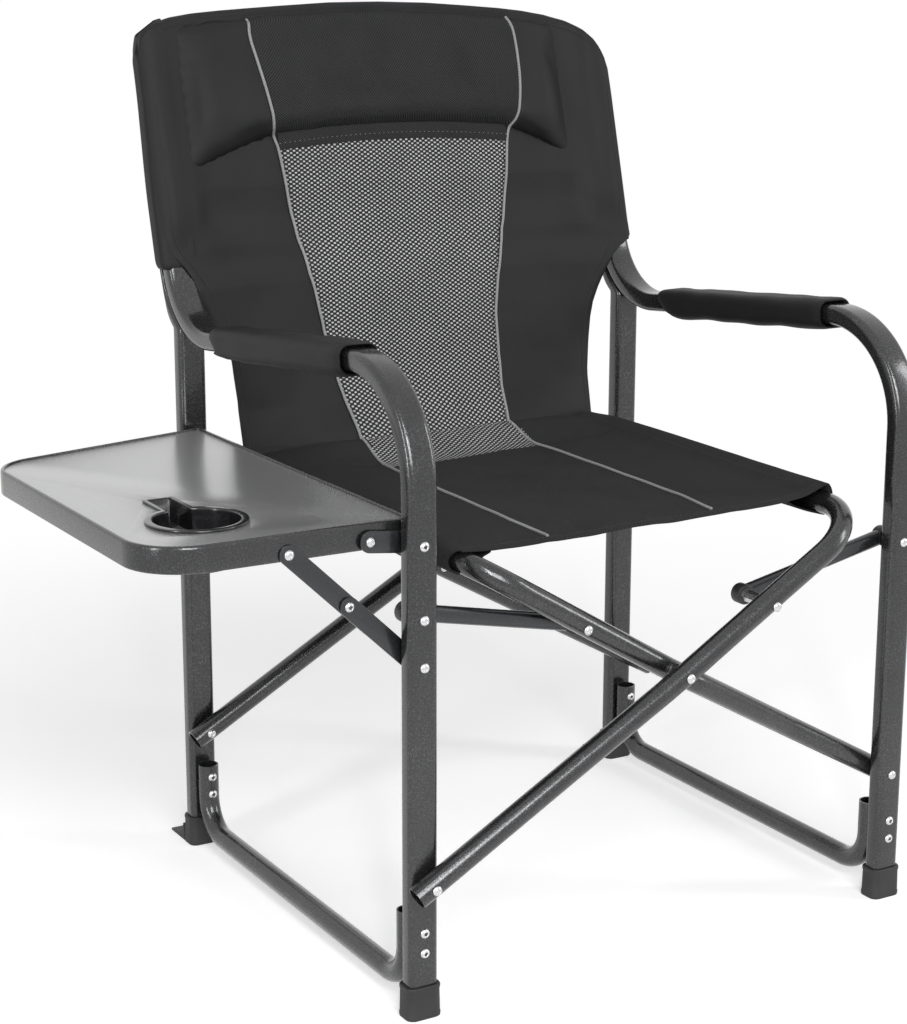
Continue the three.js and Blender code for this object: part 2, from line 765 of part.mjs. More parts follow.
alongY(
  'link_arm_rivet_front_left',
  armRivet(frontB - crossRadius - faceGap, linkFront - faceGap, []),
  aluminium, -linkArmX, linkArmHeight,
);
alongY(
  'link_arm_rivet_front_right',
  armRivet(frontA - crossRadius - faceGap, linkFront - faceGap, [
    [frontA + crossRadius + faceGap, linkFront - faceGap],
  ]),
  aluminium, linkArmX, linkArmHeight,
);
alongY(
  'link_arm_rivet_rear_left',
  armRivet(rearB - crossRadius - faceGap, linkRearLeft - faceGap, []),
  aluminium, -linkArmX, linkArmHeight,
);
const rearRightBack = rearA + crossRadius + faceGap;
const rearRightFront = linkRearRight + linkThickness + faceGap;
const turned = armRivet(0, rearRightBack - rearRightFront, []).rotateX(Math.PI);
alongY(
  'link_arm_rivet_rear_right',
  turned.translate(0, rearRightBack, 0),
  aluminium, linkArmX, linkArmHeight,
);

// ------------------------------------------------------------------ side table
// Corners of the table's outline, moved inward by a distance; the rear edge is slanted.
function tableOutline(inset) {
  const taper = rad(tableTaper);
  const inner = -tableInner - inset;
  const outer = -tableOuter + inset;
  const front = tableFront + inset;
  const rearAt = (x) => tableRear - (-tableInner - x) * Math.tan(taper) - inset / Math.cos(taper);
  const corners = [
    { x: outer, y: front, radius: tableCorner - inset, points: 6 },
    { x: inner, y: front, radius: Math.max(tableInnerCorner - inset, 0.5), points: 3 },
    { x: inner, y: rearAt(inner), radius: Math.max(tableInnerCorner - inset, 0.5), points: 3 },
    { x: outer, y: rearAt(outer), radius: tableCorner - inset, points: 6 },
  ];
  return corners.flatMap((corner, i) => {
    const here = new THREE.Vector2(corner.x, corner.y);
    const before = corners[(i + 3) % 4];
    const after = corners[(i + 1) % 4];
    const into = here.clone().sub(new THREE.Vector2(before.x, before.y)).normalize();
    const out = new THREE.Vector2(after.x, after.y).sub(here).normalize();
    const turn = Math.acos(THREE.MathUtils.clamp(into.dot(out), -1, 1));
    const start = here.clone().addScaledVector(into, -corner.radius * Math.tan(turn / 2));
    const left = new THREE.Vector2(-into.y, into.x);
    return Array.from({ length: corner.points }, (_, k) => {
      const angle = (turn * k) / (corner.points - 1);
      return start
        .clone()
        .addScaledVector(into, corner.radius * Math.sin(angle))
        .addScaledVector(left, corner.radius * (1 - Math.cos(angle)));
    });
  });
}

function slab(outline, holes, bottom, height) {
  const shape = new THREE.Shape(outline);
  holes.forEach((hole) => shape.holes.push(new THREE.Path(hole)));
  const options = { depth: height, bevelEnabled: false };
  return new THREE.ExtrudeGeometry(shape, options).translate(0, 0, bottom);
}

const panelTop = tableTop - tableWall - clearance;
const ledgeTop = panelTop - panelThickness - clearance;
const bandRearAt = (x) => tableRear - (x - tableInner) * Math.tan(rad(tableTaper));

// Band with a lip over the panel and a ledge under it.
function tableFrame() {
  const band = slab(tableOutline(0), [tableOutline(tableWall)], tableBottom, tableBand);
  const lip = slab(tableOutline(0.5), [tableOutline(tableLip)], tableTop - tableWall, tableWall);
  const ledge = slab(tableOutline(0.5), [tableOutline(tableLip)], ledgeTop - tableWall, tableWall);
  const holes = [
    bore(-hingeX, hingeHeight, tableFront - 5, tableFront + 5),
    bore(-braceTableX, braceTableHeight, tableFront - 5, tableFront + 5),
    bore(-hingeX, hingeHeight, bandRearAt(hingeX) - 8, bandRearAt(hingeX) + 8),
  ];
  return surface(cut(join([band, lip, ledge].map(solid)), holes));
}

const cupHole = cupOpening / 2 + cupWall + clearance;
const slotHole = slotWidth / 2 + cupWall + clearance;

function keyhole(radius, halfWidth, reach, bottom, height) {
  const round = new THREE.CylinderGeometry(radius, radius, height, 20).rotateX(Math.PI / 2);
  const slot = new THREE.BoxGeometry(2 * halfWidth, reach, height).translate(0, reach / 2, 0);
  return join([round, slot].map(solid)).translate([-cupX, cupY, bottom + height / 2]);
}

function tablePanel() {
  const gap = tableWall + clearance;
  const sheet = slab(tableOutline(gap), [], panelTop - panelThickness, panelThickness);
  const reach = slotReach + cupWall + clearance;
  const opening = keyhole(cupHole, slotHole, reach, panelTop - panelThickness - 1, panelThickness + 2);
  return surface(solid(sheet).subtract(opening));
}

// Drop-in cup holder: a tapered cup and a slot for a mug's handle under one flange.
function cupHolder() {
  const flangeBottom = panelTop + clearance;
  const flangeTop = flangeBottom + cupWall;
  const floor = flangeTop - cupDepth;
  const rise = (cupFlange - cupOpening) / 2;
  const flange = keyhole(cupFlange / 2, slotWidth / 2 + rise, slotReach + rise, flangeBottom, cupWall);
  const revolve = (points) =>
    solid(
      new THREE.LatheGeometry(points.map(([r, z]) => new THREE.Vector2(r, z)), 20).rotateX(Math.PI / 2),
    ).translate([-cupX, cupY, 0]);
  const cup = revolve([
    [0, floor - cupWall],
    [cupFloor / 2 + cupWall - 3, floor - cupWall],
    [cupFloor / 2 + cupWall, floor + 2],
    [cupOpening / 2 + cupWall, flangeBottom - 1],
    [cupOpening / 2 + cupWall, flangeTop],
    [0, flangeTop],
  ]);
  const inside = revolve([
    [0, floor],
    [cupFloor / 2 - 3, floor],
    [cupFloor / 2, floor + 3],
    [cupOpening / 2, flangeBottom],
    [cupOpening / 2, flangeTop + 1],
    [0, flangeTop + 1],
  ]);
  const trough = new THREE.BoxGeometry(slotWidth + 2 * cupWall, slotReach + cupWall, slotDepth + cupWall);
  trough.translate(-cupX, cupY + (slotReach + cupWall) / 2, flangeTop - (slotDepth + cupWall) / 2);
  const handle = new THREE.BoxGeometry(slotWidth, slotReach, slotDepth + 1);
  handle.translate(-cupX, cupY + slotReach / 2, flangeTop + 1 - (slotDepth + 1) / 2);
  return surface(join([flange, cup, solid(trough)]).subtract(inside).subtract(solid(handle)));
}

add('table_frame', tableFrame(), paint);
add('table_panel', tablePanel(), tableGrey);
add('cup_holder', cupHolder(), glossBlack);

// ------------------------------------------------------------------ table hardware
// Bracket riveted to a leg, with the table's hinge hole at its outer end.
function bracket(front, rivetFront, rivetRear) {
  const outline = strap(-sideX, bracketHeight, -hingeX, hingeHeight, barWidth + 2);
  const hole = bore(-hingeX, hingeHeight, front - 2, front + barThickness + 2);
  const pin = rivet(rivetFront, rivetRear).translate(-sideX, 0, bracketHeight);
  return surface(join([solid(plate(outline, front, barThickness)).subtract(hole), solid(pin)]));
}

const rearBracketY = rearLegFront - clearance - 0.1 - barThickness;
add('table_bracket_front', bracket(lowerBarY, -clearance, lowerBarY + barThickness - 0.2), paintLight);
add('table_bracket_rear', bracket(rearBracketY, rearBracketY + 0.2, rearLegRear + clearance), paintLight);

alongY(
  'table_hinge_rivet_front',
  rivet(lowerBarY - faceGap, tableFront + tableWall + faceGap, [
    [lowerBarY + barThickness + faceGap, tableFront - faceGap, headRadius],
  ]),
  aluminium, -hingeX, hingeHeight,
);
const hingeWallSlope = Math.tan(rad(tableTaper)) * spacerRadius;
alongY(
  'table_hinge_rivet_rear',
  rivet(bandRearAt(hingeX) - tableWall - hingeWallSlope - faceGap, rearBracketY + barThickness + 0.1, [
    [bandRearAt(hingeX) + hingeWallSlope + faceGap, rearBracketY - faceGap],
  ]),
  aluminium, -hingeX, hingeHeight,
);

// Folding brace: the lower bar swings on the leg, the upper bar on the table; the upper bar runs
// past the knee.
const braceLie = Math.atan2(kneeHeight - braceLegHeight, sideX - kneeX);

function lowerBar() {
  const outline = strap(-sideX, braceLegHeight, -kneeX, kneeHeight, barWidth);
  const bar = solid(plate(outline, lowerBarY, barThickness));
  const hole = bore(-sideX, braceLegHeight, lowerBarY - 2, lowerBarY + barThickness + 2);
  return surface(join([bar.subtract(hole), kneeHead()]));
}

// The knee's rivet: its head lies on the lower bar, and it is flush with the back of the upper one,
// which swings past the table's band.
function kneeHead() {
  const profile = [
    [0, -0.2],
    [headRadius, -0.2],
    [headRadius * 0.68, headHeight * 0.76],
    [0, headHeight],
  ];
  const head = new THREE.LatheGeometry(profile.map(([r, y]) => new THREE.Vector2(r, y)), 8);
  return solid(head.rotateX(Math.PI).translate(-kneeX, lowerBarY + 0.2, kneeHeight));
}

function upperBar() {
  const beyond = braceTail / Math.hypot(sideX - kneeX, kneeHeight - braceLegHeight);
  const endX = THREE.MathUtils.lerp(kneeX, sideX, beyond);
  const endZ = THREE.MathUtils.lerp(kneeHeight, braceLegHeight, beyond);
  const outline = strap(-endX, endZ, -braceTableX, braceTableHeight, barWidth);
  const bar = solid(plate(outline, upperBarY, barThickness));
  const hole = bore(-braceTableX, braceTableHeight, upperBarY - 2, upperBarY + barThickness + 2);
  return surface(bar.subtract(hole));
}

add('brace_lower', lowerBar(), paintLight);
add('brace_upper', upperBar(), paintLight);
alongY(
  'brace_leg_rivet',
  rivet(-faceGap, lowerBarY + barThickness + faceGap),
  aluminium, -sideX, braceLegHeight,
);
alongY(
  'brace_table_rivet',
  rivet(upperBarY - faceGap, tableFront + tableWall + faceGap),
  aluminium, -braceTableX, braceTableHeight,
);

// ------------------------------------------------------------------ seat
const railReachX = seatRailReach * Math.sin(scissorAngle) - seatRailRise * Math.cos(scissorAngle);
const railZ =
  crossingHeight + seatRailReach * Math.cos(scissorAngle) + seatRailRise * Math.sin(scissorAngle);
const hemInner = crossRadius + 0.4;
const hemOuter = hemInner + hemThickness;

// Cross tubes a little thicker than they are, to keep soft goods clear of them.
function crossEnvelope(front, rear, rise, turn) {
  const path = crossPath(front, rear, rise, 0);
  const body = solid(sweep(path, ring(hemInner / Math.cos(Math.PI / 16), 16)));
  return body.rotate([0, THREE.MathUtils.radToDeg(turn), 0]).translate([0, 0, crossingHeight]);
}

function seatPanel() {
  const top = railZ + hemOuter;
  const sag = (x) => top - seatSag * (1 - (x / railReachX) ** 2);
  const xs = Array.from({ length: 13 }, (_, i) => railReachX * (-1 + i / 6));
  const upper = xs.map((x) => new THREE.Vector2(x, sag(x)));
  const lower = xs.map((x) => new THREE.Vector2(x, sag(x) - seatThickness)).reverse();
  const sling = solid(plate([...upper.reverse(), ...lower.reverse()].reverse(), seatFront, seatRear - seatFront));
  const hem = (sign, front, rear) => {
    const start = front + crossBend + 1;
    const length = rear - crossBend - 1 - start;
    const body = new THREE.CylinderGeometry(hemOuter, hemOuter, length, 14);
    return solid(body.translate(sign * railReachX, start + length / 2, railZ));
  };
  const body = join([sling, hem(1, frontA, rearA), hem(-1, frontB, rearB)]);
  return surface(
    cut(body, [
      crossEnvelope(frontA, rearA, seatRailRise, scissorAngle - Math.PI / 2),
      crossEnvelope(frontB, rearB, -seatRailRise, -scissorAngle - Math.PI / 2),
    ]),
  );
}

add('seat_panel', seatPanel(), mesh3d);

// ------------------------------------------------------------------ back
const pocketBottom = tongueTop + pocketGap;
const pocketHalf = sideX + legWidth / 2 + pocketSide - 0.6;
const backTop = uprightTop + backCap;
const headrestTop = backTop - headrestDrop;
const headrestBottom = headrestTop - headrestHeight;

// Edge of the back from its foot to the pockets, in shares: of the height, of the widening and of
// the way back to the uprights. The foot runs forward to the seat.
const backEdge = [
  [0, 0, 0],
  [0.05, 0.08, 0.19],
  [0.125, 0.15, 0.38],
  [0.21, 0.18, 0.56],
  [0.31, 0.19, 0.65],
  [0.44, 0.22, 0.69],
  [0.57, 0.29, 0.72],
  [0.72, 0.45, 0.77],
  [0.8, 0.57, 0.79],
  [0.87, 0.69, 0.86],
  [0.935, 0.84, 0.94],
  [1, 1, 1],
];

function backPanel() {
  const { lerp } = THREE.MathUtils;
  const front = (z) => uprightFace(z, -legDepth / 2) - backFront;
  const sheetRing = (z, half, y) =>
    at(roundedBox(2 * half, backThickness, 2.5, 2), 0, y + backThickness / 2, z);
  const foot = railZ + hemOuter + backFootRise;
  const rings = backEdge.map(([up, out, back]) =>
    sheetRing(
      lerp(foot, pocketBottom, up),
      lerp(backFootHalf, pocketHalf, out),
      lerp(backFoot, front(pocketBottom), back),
    ),
  );
  rings.push(sheetRing(backTop, pocketHalf, front(backTop)));
  const bodies = [solid(loft(rings))];
  const spaces = [];
  [-sideX, sideX].forEach((x) => {
    const width = legWidth + 2 * pocketSide;
    const depth = (legDepth + 2 * backFront) / uprightRun.y;
    const outline = roundedBox(width, depth, legCorner + 2, 3);
    bodies.push(solid(loft([pocketBottom, backTop].map((z) => at(outline, x, uprightY(z), z)))));
    const fit = 0.8;
    const section = roundedBox(legWidth + fit, legDepth + fit, legCorner + fit / 2, 3);
    spaces.push(solid(sweep(armPath(), section)).translate([x, 0, 0]));
  });
  return surface(cut(join(bodies), spaces));
}

// Headrest: a stuffed pad on the front of the back, drawn square to the leaning upright.
function headrest() {
  const lean = uprightRun;
  const face = -(legDepth / 2 + backFront + clearance + 0.2);
  const middle = (headrestTop + headrestBottom) / 2;
  const halfHeight = (headrestTop - headrestBottom) / 2 / lean.y;
  const stations = [-1, -0.94, -0.8, -0.4, 0, 0.4, 0.8, 0.94, 1];
  const rings = stations.map((share) => {
    const swell = 0.12 + 0.88 * Math.sqrt(Math.max(0, 1 - share ** 6));
    const outline = [
      [0, 1], [0.45, 0.97], [0.8, 0.8], [1, 0.4], [1, -0.4], [0.8, -0.8], [0.45, -0.97], [0, -1],
    ];
    return outline.map(([out, up]) => {
      const height = halfHeight * up * (0.93 + 0.07 * swell);
      const forward = face - headrestThickness * swell * out;
      return new THREE.Vector3(
        share * headrestHalfWidth,
        uprightY(middle) + forward * lean.y + height * lean.x,
        middle - forward * lean.x + height * lean.y,
      );
    });
  });
  return loft(rings);
}

add('back_panel', backPanel(), fabric);
add('headrest_pad', headrest(), mesh3d);

// ------------------------------------------------------------------ origin
const box = new THREE.Box3().setFromObject(chair);
const middle = box.getCenter(new THREE.Vector3());
chair.children.forEach((child) => {
  child.position.x -= middle.x;
  child.position.y -= middle.y;
  child.position.z -= box.min.z;
});

export default chair;
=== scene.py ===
from math import acos, asin, atan2, cos, exp, hypot, pi, radians, sin, sqrt, tan
import bmesh
import bpy
import numpy as np
from mathutils import Matrix, Vector, noise


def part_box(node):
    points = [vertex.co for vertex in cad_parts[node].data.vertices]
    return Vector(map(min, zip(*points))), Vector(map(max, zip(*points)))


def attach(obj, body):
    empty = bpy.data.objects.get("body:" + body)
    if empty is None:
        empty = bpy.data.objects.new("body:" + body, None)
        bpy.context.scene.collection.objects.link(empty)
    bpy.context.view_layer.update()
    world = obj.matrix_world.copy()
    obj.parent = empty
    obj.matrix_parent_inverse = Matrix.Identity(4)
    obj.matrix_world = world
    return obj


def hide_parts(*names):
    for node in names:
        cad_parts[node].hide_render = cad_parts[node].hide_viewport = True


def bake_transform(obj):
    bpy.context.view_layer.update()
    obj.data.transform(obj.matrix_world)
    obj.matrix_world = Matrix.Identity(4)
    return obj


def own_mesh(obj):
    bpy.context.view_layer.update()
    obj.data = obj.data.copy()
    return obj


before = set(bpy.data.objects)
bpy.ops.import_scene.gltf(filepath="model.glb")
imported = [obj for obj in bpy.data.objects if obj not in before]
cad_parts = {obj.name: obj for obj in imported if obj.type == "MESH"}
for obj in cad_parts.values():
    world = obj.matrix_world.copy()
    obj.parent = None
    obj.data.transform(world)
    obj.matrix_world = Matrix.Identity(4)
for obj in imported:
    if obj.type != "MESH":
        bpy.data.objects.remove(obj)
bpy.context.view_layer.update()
print("frame loaded:", len(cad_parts), "nodes")

# The chair's own frame, in millimetres: x = 0 between the side frames, y = 0 the front face of the
# front legs, z = 0 the ground.
leftLow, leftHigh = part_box("arm_frame_left")
rightLow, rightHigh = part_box("arm_frame_right")
chairOrigin = Vector(((leftLow.x + leftHigh.x + rightLow.x + rightHigh.x) / 4, leftLow.y, 0))
sideX = (rightLow.x + rightHigh.x - leftLow.x - leftHigh.x) / 4 * 1000


def place(x, y, z):
    return chairOrigin + Vector((x, y, z)) / 1000


def local(point):
    return (Vector(point) - chairOrigin) * 1000


def nodeBox(name):
    low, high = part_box(name)
    return local(low), local(high)


# Helpers for nodes and meshes. An input takes a plain value or another node's output.
def setInput(tree, socket, value):
    if isinstance(value, bpy.types.NodeSocket):
        tree.links.new(value, socket)
    else:
        socket.default_value = value


def putNode(tree, kind, inputs=None, **settings):
    node = tree.nodes.new(kind)
    for key, value in settings.items():
        setattr(node, key, value)
    for key, value in (inputs or {}).items():
        setInput(tree, node.inputs[key], value)
    return node


def geoNode(tree, kind, inputs, **settings):
    return putNode(tree, "GeometryNode" + kind, inputs, **settings).outputs[0]


def geometryTree(name, inputs):
    tree = bpy.data.node_groups.new(name, "GeometryNodeTree")
    tree.interface.new_socket("Geometry", in_out="INPUT", socket_type="NodeSocketGeometry")
    for label, kind, value in inputs:
        socket = tree.interface.new_socket(label, in_out="INPUT", socket_type="NodeSocket" + kind)
        if value is not None:
            socket.default_value = value
    tree.interface.new_socket("Geometry", in_out="OUTPUT", socket_type="NodeSocketGeometry")
    return tree, tree.nodes.new("NodeGroupInput"), tree.nodes.new("NodeGroupOutput")


def endTree(tree, start, end, geometry):
    whole = geoNode(tree, "RealizeInstances", {"Geometry": geometry})
    painted = geoNode(tree, "SetMaterial", {"Geometry": whole, "Material": start.outputs["Finish"]})
    tree.links.new(painted, end.inputs[0])
    return tree


def useTree(obj, tree, **values):
    modifier = obj.modifiers.new(tree.name, "NODES")
    modifier.node_group = tree
    for item in tree.interface.items_tree:
        if item.item_type == "SOCKET" and item.in_out == "INPUT" and item.name in values:
            modifier[item.identifier] = values[item.name]
    return modifier


def linkObject(obj):
    bpy.context.scene.collection.objects.link(obj)
    return obj


def meshObject(name, verts, faces, edges=()):
    mesh = bpy.data.meshes.new(name)
    mesh.from_pydata([tuple(v) for v in verts], list(edges), faces)
    mesh.update()
    return linkObject(bpy.data.objects.new(name, mesh))


# Applies the modifiers: the object keeps a plain mesh.
def settle(obj):
    bpy.context.view_layer.update()
    depsgraph = bpy.context.evaluated_depsgraph_get()
    mesh = bpy.data.meshes.new_from_object(obj.evaluated_get(depsgraph),
        preserve_all_data_layers=True, depsgraph=depsgraph)
    if obj.type != "MESH":
        solid = linkObject(bpy.data.objects.new(obj.name + "Mesh", mesh))
        name = obj.name
        bpy.data.objects.remove(obj)
        solid.name = name
        return solid
    obj.modifiers.clear()
    obj.data = mesh
    mesh.name = obj.name
    return obj


def smooth(obj, angle=35):
    mesh = obj.data
    mesh.shade_smooth()
    if angle < 180:
        mesh.set_sharp_from_angle(angle=radians(angle))
    return obj


# Turns the faces outward, after merging the points that coincide unless told otherwise.
def outward(obj, merge=True):
    mesh = bmesh.new()
    mesh.from_mesh(obj.data)
    if merge:
        bmesh.ops.remove_doubles(mesh, verts=mesh.verts, dist=1e-6)
    bmesh.ops.recalc_face_normals(mesh, faces=mesh.faces)
    mesh.to_mesh(obj.data)
    mesh.free()
    return obj


def joined(name, parts):
    bpy.context.view_layer.update()
    with bpy.context.temp_override(active_object=parts[0], selected_editable_objects=parts,
            selected_objects=parts):
        bpy.ops.object.join()
    parts[0].name = name
    return parts[0]


# Clearing would also reset which faces have which material, so a fresh mesh is left as it is.
def paint(obj, *materials):
    if len(obj.data.materials):
        obj.data.materials.clear()
    for material in materials:
        obj.data.materials.append(material)
    return obj


def bevelled(obj, width, segments=2, angle=40):
    modifier = obj.modifiers.new("edge", "BEVEL")
    modifier.width = width / 1000
    modifier.segments = segments
    modifier.limit_method = "ANGLE"
    modifier.angle_limit = radians(angle)
    return obj


# Skin over rings of equal count, closed at both ends.
def loft(name, rings):
    count = len(rings[0])
    verts = [place(*p) for ring in rings for p in ring]
    faces = []
    for r in range(len(rings) - 1):
        for i in range(count):
            a, b = r * count + i, r * count + (i + 1) % count
            faces.append((a, b, b + count, a + count))
    last = (len(rings) - 1) * count
    faces += [tuple(range(count - 1, -1, -1)), tuple(range(last, last + count))]
    return outward(meshObject(name, verts, faces))


def roundedBox(width, depth, radius, points=7):
    r = min(radius, width / 2 - 0.01, depth / 2 - 0.01)
    outline = []
    for quarter, (sx, sy) in enumerate(((1, 1), (-1, 1), (-1, -1), (1, -1))):
        for i in range(points):
            angle = pi / 2 * (quarter + i / (points - 1))
            outline.append((sx * (width / 2 - r) + r * cos(angle),
                sy * (depth / 2 - r) + r * sin(angle)))
    return outline


def smoothstep(low, high, x):
    t = min(1.0, max(0.0, (x - low) / (high - low)))
    return t * t * (3 - 2 * t)


# Bell about 0, and the quarter round by which a cloth's edge falls off.
def bell(x, width):
    return exp(-(x / width) ** 2)


def rounding(share):
    return sqrt(max(0.0, 1 - (1 - min(1, share)) ** 2))


def table(rows, z):
    return float(np.interp(z, [r[0] for r in rows], [r[1] for r in rows]))


# Finishes.
def newFinish(name):
    material = bpy.data.materials.new(name)
    material.use_nodes = True
    tree = material.node_tree
    return material, tree, tree.nodes["Principled BSDF"]


def objectPlace(tree):
    return tree.nodes.new("ShaderNodeTexCoord").outputs["Object"]


def mathNode(tree, operation, a, b=None, clamp=False):
    inputs = {0: a} if b is None else {0: a, 1: b}
    return putNode(tree, "ShaderNodeMath", inputs, operation=operation, use_clamp=clamp).outputs[0]


def noiseNode(tree, vector, scale, detail=2.0):
    inputs = {"Vector": vector, "Scale": scale, "Detail": detail, "Roughness": 0.55}
    return putNode(tree, "ShaderNodeTexNoise", inputs).outputs["Fac"]


def mapRange(tree, value, low, high, toLow=0.0, toHigh=1.0):
    inputs = {"Value": value, "From Min": low, "From Max": high, "To Min": toLow, "To Max": toHigh}
    return putNode(tree, "ShaderNodeMapRange", inputs).outputs[0]


# Stretches a noise's middle band over a range.
def spread(tree, grain, low=0.0, high=1.0):
    return mapRange(tree, grain, 0.3, 0.7, low, high)


def mixColour(tree, factor, a, b):
    inputs = {0: factor, 6: (*a, 1), 7: (*b, 1)}
    return putNode(tree, "ShaderNodeMix", inputs, data_type="RGBA").outputs[2]


def bumpNode(tree, height, strength, distance):
    inputs = {"Height": height, "Strength": strength, "Distance": distance}
    return putNode(tree, "ShaderNodeBump", inputs).outputs[0]


def dress(tree, shader, **values):
    for label, value in values.items():
        setInput(tree, shader.inputs[label.replace("_", " ")], value)


# Hammertone powder coat: dark charcoal with fine light flecks and a dimpled gloss.
hammertone = {
    "dark": (0.036, 0.0365, 0.038), "light": (0.22, 0.222, 0.228), "fleck": 800,
    "fleckBand": (0.5, 0.72), "gain": 2.2, "drift": 26, "faintest": 0.35, "dimple": 420,
    "bump": 0.26, "depth": 0.0006, "dull": 0.08,
}


def hammertoneFinish(name, dark, light, fleckShare=0.22, roughness=0.25):
    material, tree, shader = newFinish(name)
    where = objectPlace(tree)
    flecks = mapRange(tree, noiseNode(tree, where, hammertone["fleck"]), *hammertone["fleckBand"])
    drift = spread(tree, noiseNode(tree, where, hammertone["drift"]), hammertone["faintest"])
    speckle = mathNode(tree, "MULTIPLY", flecks, drift)
    share = mathNode(tree, "MULTIPLY", speckle, fleckShare * hammertone["gain"], True)
    dimples = noiseNode(tree, where, hammertone["dimple"], 3.0)
    dress(tree, shader, Base_Color=mixColour(tree, share, dark, light),
        Normal=bumpNode(tree, dimples, hammertone["bump"], hammertone["depth"]),
        Roughness=spread(tree, dimples, roughness - hammertone["dull"],
            roughness + hammertone["dull"]),
        Metallic=0.72, Coat_Weight=0.5, Coat_Roughness=0.1)
    return material


plasticSet = {"patch": 40, "lighter": (1.35, 0.004), "dull": (-0.06, 0.08), "depth": 0.0004}


def plasticFinish(name, colour, roughness, grain, bump, coat=0.0):
    material, tree, shader = newFinish(name)
    where = objectPlace(tree)
    fine = noiseNode(tree, where, grain, 3.0)
    patch = spread(tree, noiseNode(tree, where, plasticSet["patch"]))
    gain, lift = plasticSet["lighter"]
    low, high = (roughness + step for step in plasticSet["dull"])
    dress(tree, shader, Base_Color=mixColour(tree, patch, colour,
        tuple(c * gain + lift for c in colour)),
        Roughness=spread(tree, fine, low, high),
        Normal=bumpNode(tree, fine, bump, plasticSet["depth"]),
        Coat_Weight=coat, Coat_Roughness=0.08)
    return material


def metalFinish(name, grain, dark, light, gloss, metallic):
    material, tree, shader = newFinish(name)
    brushed = noiseNode(tree, objectPlace(tree), grain)
    dress(tree, shader, Base_Color=mixColour(tree, brushed, dark, light),
        Roughness=spread(tree, brushed, *gloss),
        Metallic=metallic)
    return material


# Painted table top, its grain drawn out along y.
def tableFinish():
    material, tree, shader = newFinish("tableGrey")
    inputs = {"Vector": objectPlace(tree), "Scale": (1.0, 0.08, 1.0)}
    grain = noiseNode(tree, putNode(tree, "ShaderNodeMapping", inputs).outputs[0], 900)
    colour = mixColour(tree, mapRange(tree, grain, 0.35, 0.65), (0.49, 0.492, 0.497),
        (0.52, 0.522, 0.527))
    dress(tree, shader, Base_Color=colour, Metallic=0.7, Roughness=0.27)
    return material


# Lattice of staggered dots, 1 on a dot and -1 between: pitch across and along, in millimetres.
def dotLattice(tree, cloth, across, along):
    parts = putNode(tree, "ShaderNodeSeparateXYZ", {0: cloth})
    waves = [mathNode(tree, "COSINE", mathNode(tree, "MULTIPLY", parts.outputs[axis],
        2 * pi / pitch))
        for axis, pitch in enumerate((across, along))]
    return mathNode(tree, "MULTIPLY", *waves)


clothSet = {"edge": (-0.18, 0.22), "drift": 0.02, "fuzz": 1.4, "fuzzShare": 0.9}


# Woven or knitted cloth, laid out on the piece's own map in millimetres.
def clothFinish(name, dark, light, across, along, cut, roughness=0.95, bump=0.35, depth=0.0006,
        shine=0.12, wear=0.25):
    material, tree, shader = newFinish(name)
    uv = putNode(tree, "ShaderNodeUVMap", uv_map="cloth").outputs[0]
    cloth = putNode(tree, "ShaderNodeVectorMath", {0: uv, 1: (1000, 1000, 1000)},
        operation="MULTIPLY").outputs[0]
    dots = dotLattice(tree, cloth, across, along)
    mask = mapRange(tree, dots, *(cut + step for step in clothSet["edge"]))
    worn = spread(tree, noiseNode(tree, cloth, clothSet["drift"], 3.0), 1 - wear, 1 + wear)
    shade = mathNode(tree, "MULTIPLY", mask, worn, True)
    fuzz = mathNode(tree, "MULTIPLY", noiseNode(tree, cloth, clothSet["fuzz"]),
        clothSet["fuzzShare"])
    dress(tree, shader, Base_Color=mixColour(tree, shade, dark, light),
        Normal=bumpNode(tree, mathNode(tree, "ADD", dots, fuzz), bump, depth),
        Roughness=roughness, Specular_IOR_Level=shine)
    return material


finishes = {
    "hammertone": hammertoneFinish("hammertone", hammertone["dark"], hammertone["light"]),
    "linkPaint": hammertoneFinish("linkPaint", (0.032, 0.033, 0.036), (0.09, 0.092, 0.097), 0.2,
        0.34),
    "rivet": metalFinish("brightRivet", 900, (0.5, 0.5, 0.51), (0.74, 0.74, 0.75),
        (0.2, 0.36), 1.0),
    "steel": metalFinish("darkSteel", 1500, (0.03, 0.03, 0.032), (0.12, 0.12, 0.124),
        (0.35, 0.5), 0.8),
    "table": tableFinish(),
    "plastic": plasticFinish("blackPlastic", (0.012, 0.012, 0.013), 0.42, 700, 0.2),
    "rubber": plasticFinish("darkRubber", (0.012, 0.012, 0.0133), 0.6, 1300, 0.4),
    "gloss": plasticFinish("glossBlack", (0.006, 0.006, 0.007), 0.2, 260, 0.05, 0.4),
    "thread": plasticFinish("blackThread", (0.020, 0.020, 0.022), 0.7, 2000, 0.4),
    "weave": clothFinish("blackWeave", (0.0068, 0.0069, 0.0072), (0.0150, 0.0151, 0.0156), 1.5, 1.5,
        0.0, 0.55, 0.2, 0.0004, 0.22),
    # The seat's cloth is the same black weave as the back's, given a lighter colour and no gloss:
    # the lighter colour is painted light that sets how bright the seat reads.
    "seatWeave": clothFinish("seatWeave", (0.022, 0.0222, 0.0228), (0.040, 0.0402, 0.041), 1.5,
        1.5, 0.0),
    "fineMesh": clothFinish("fineMesh", (0.017, 0.0172, 0.0178), (0.056, 0.0563, 0.058), 3.0, 2.6,
        0.1, 0.9, 0.6),
    "spacerMesh": clothFinish("spacerMesh", (0.028, 0.0285, 0.03), (0.60, 0.60, 0.60), 7.2, 4.64,
        0.3, 0.8, 0.7, 0.001, 0.12, 0.12),
    "binding": clothFinish("bindingTape", (0.014, 0.014, 0.0145), (0.026, 0.026, 0.0265), 1.1, 2.2,
        0.0, 0.9),
    "piping": clothFinish("greyPiping", (0.25, 0.252, 0.256), (0.42, 0.422, 0.426), 1.8, 1.8, 0.0,
        0.75, 0.5, 0.0005),
}
print("finishes made:", len(finishes))


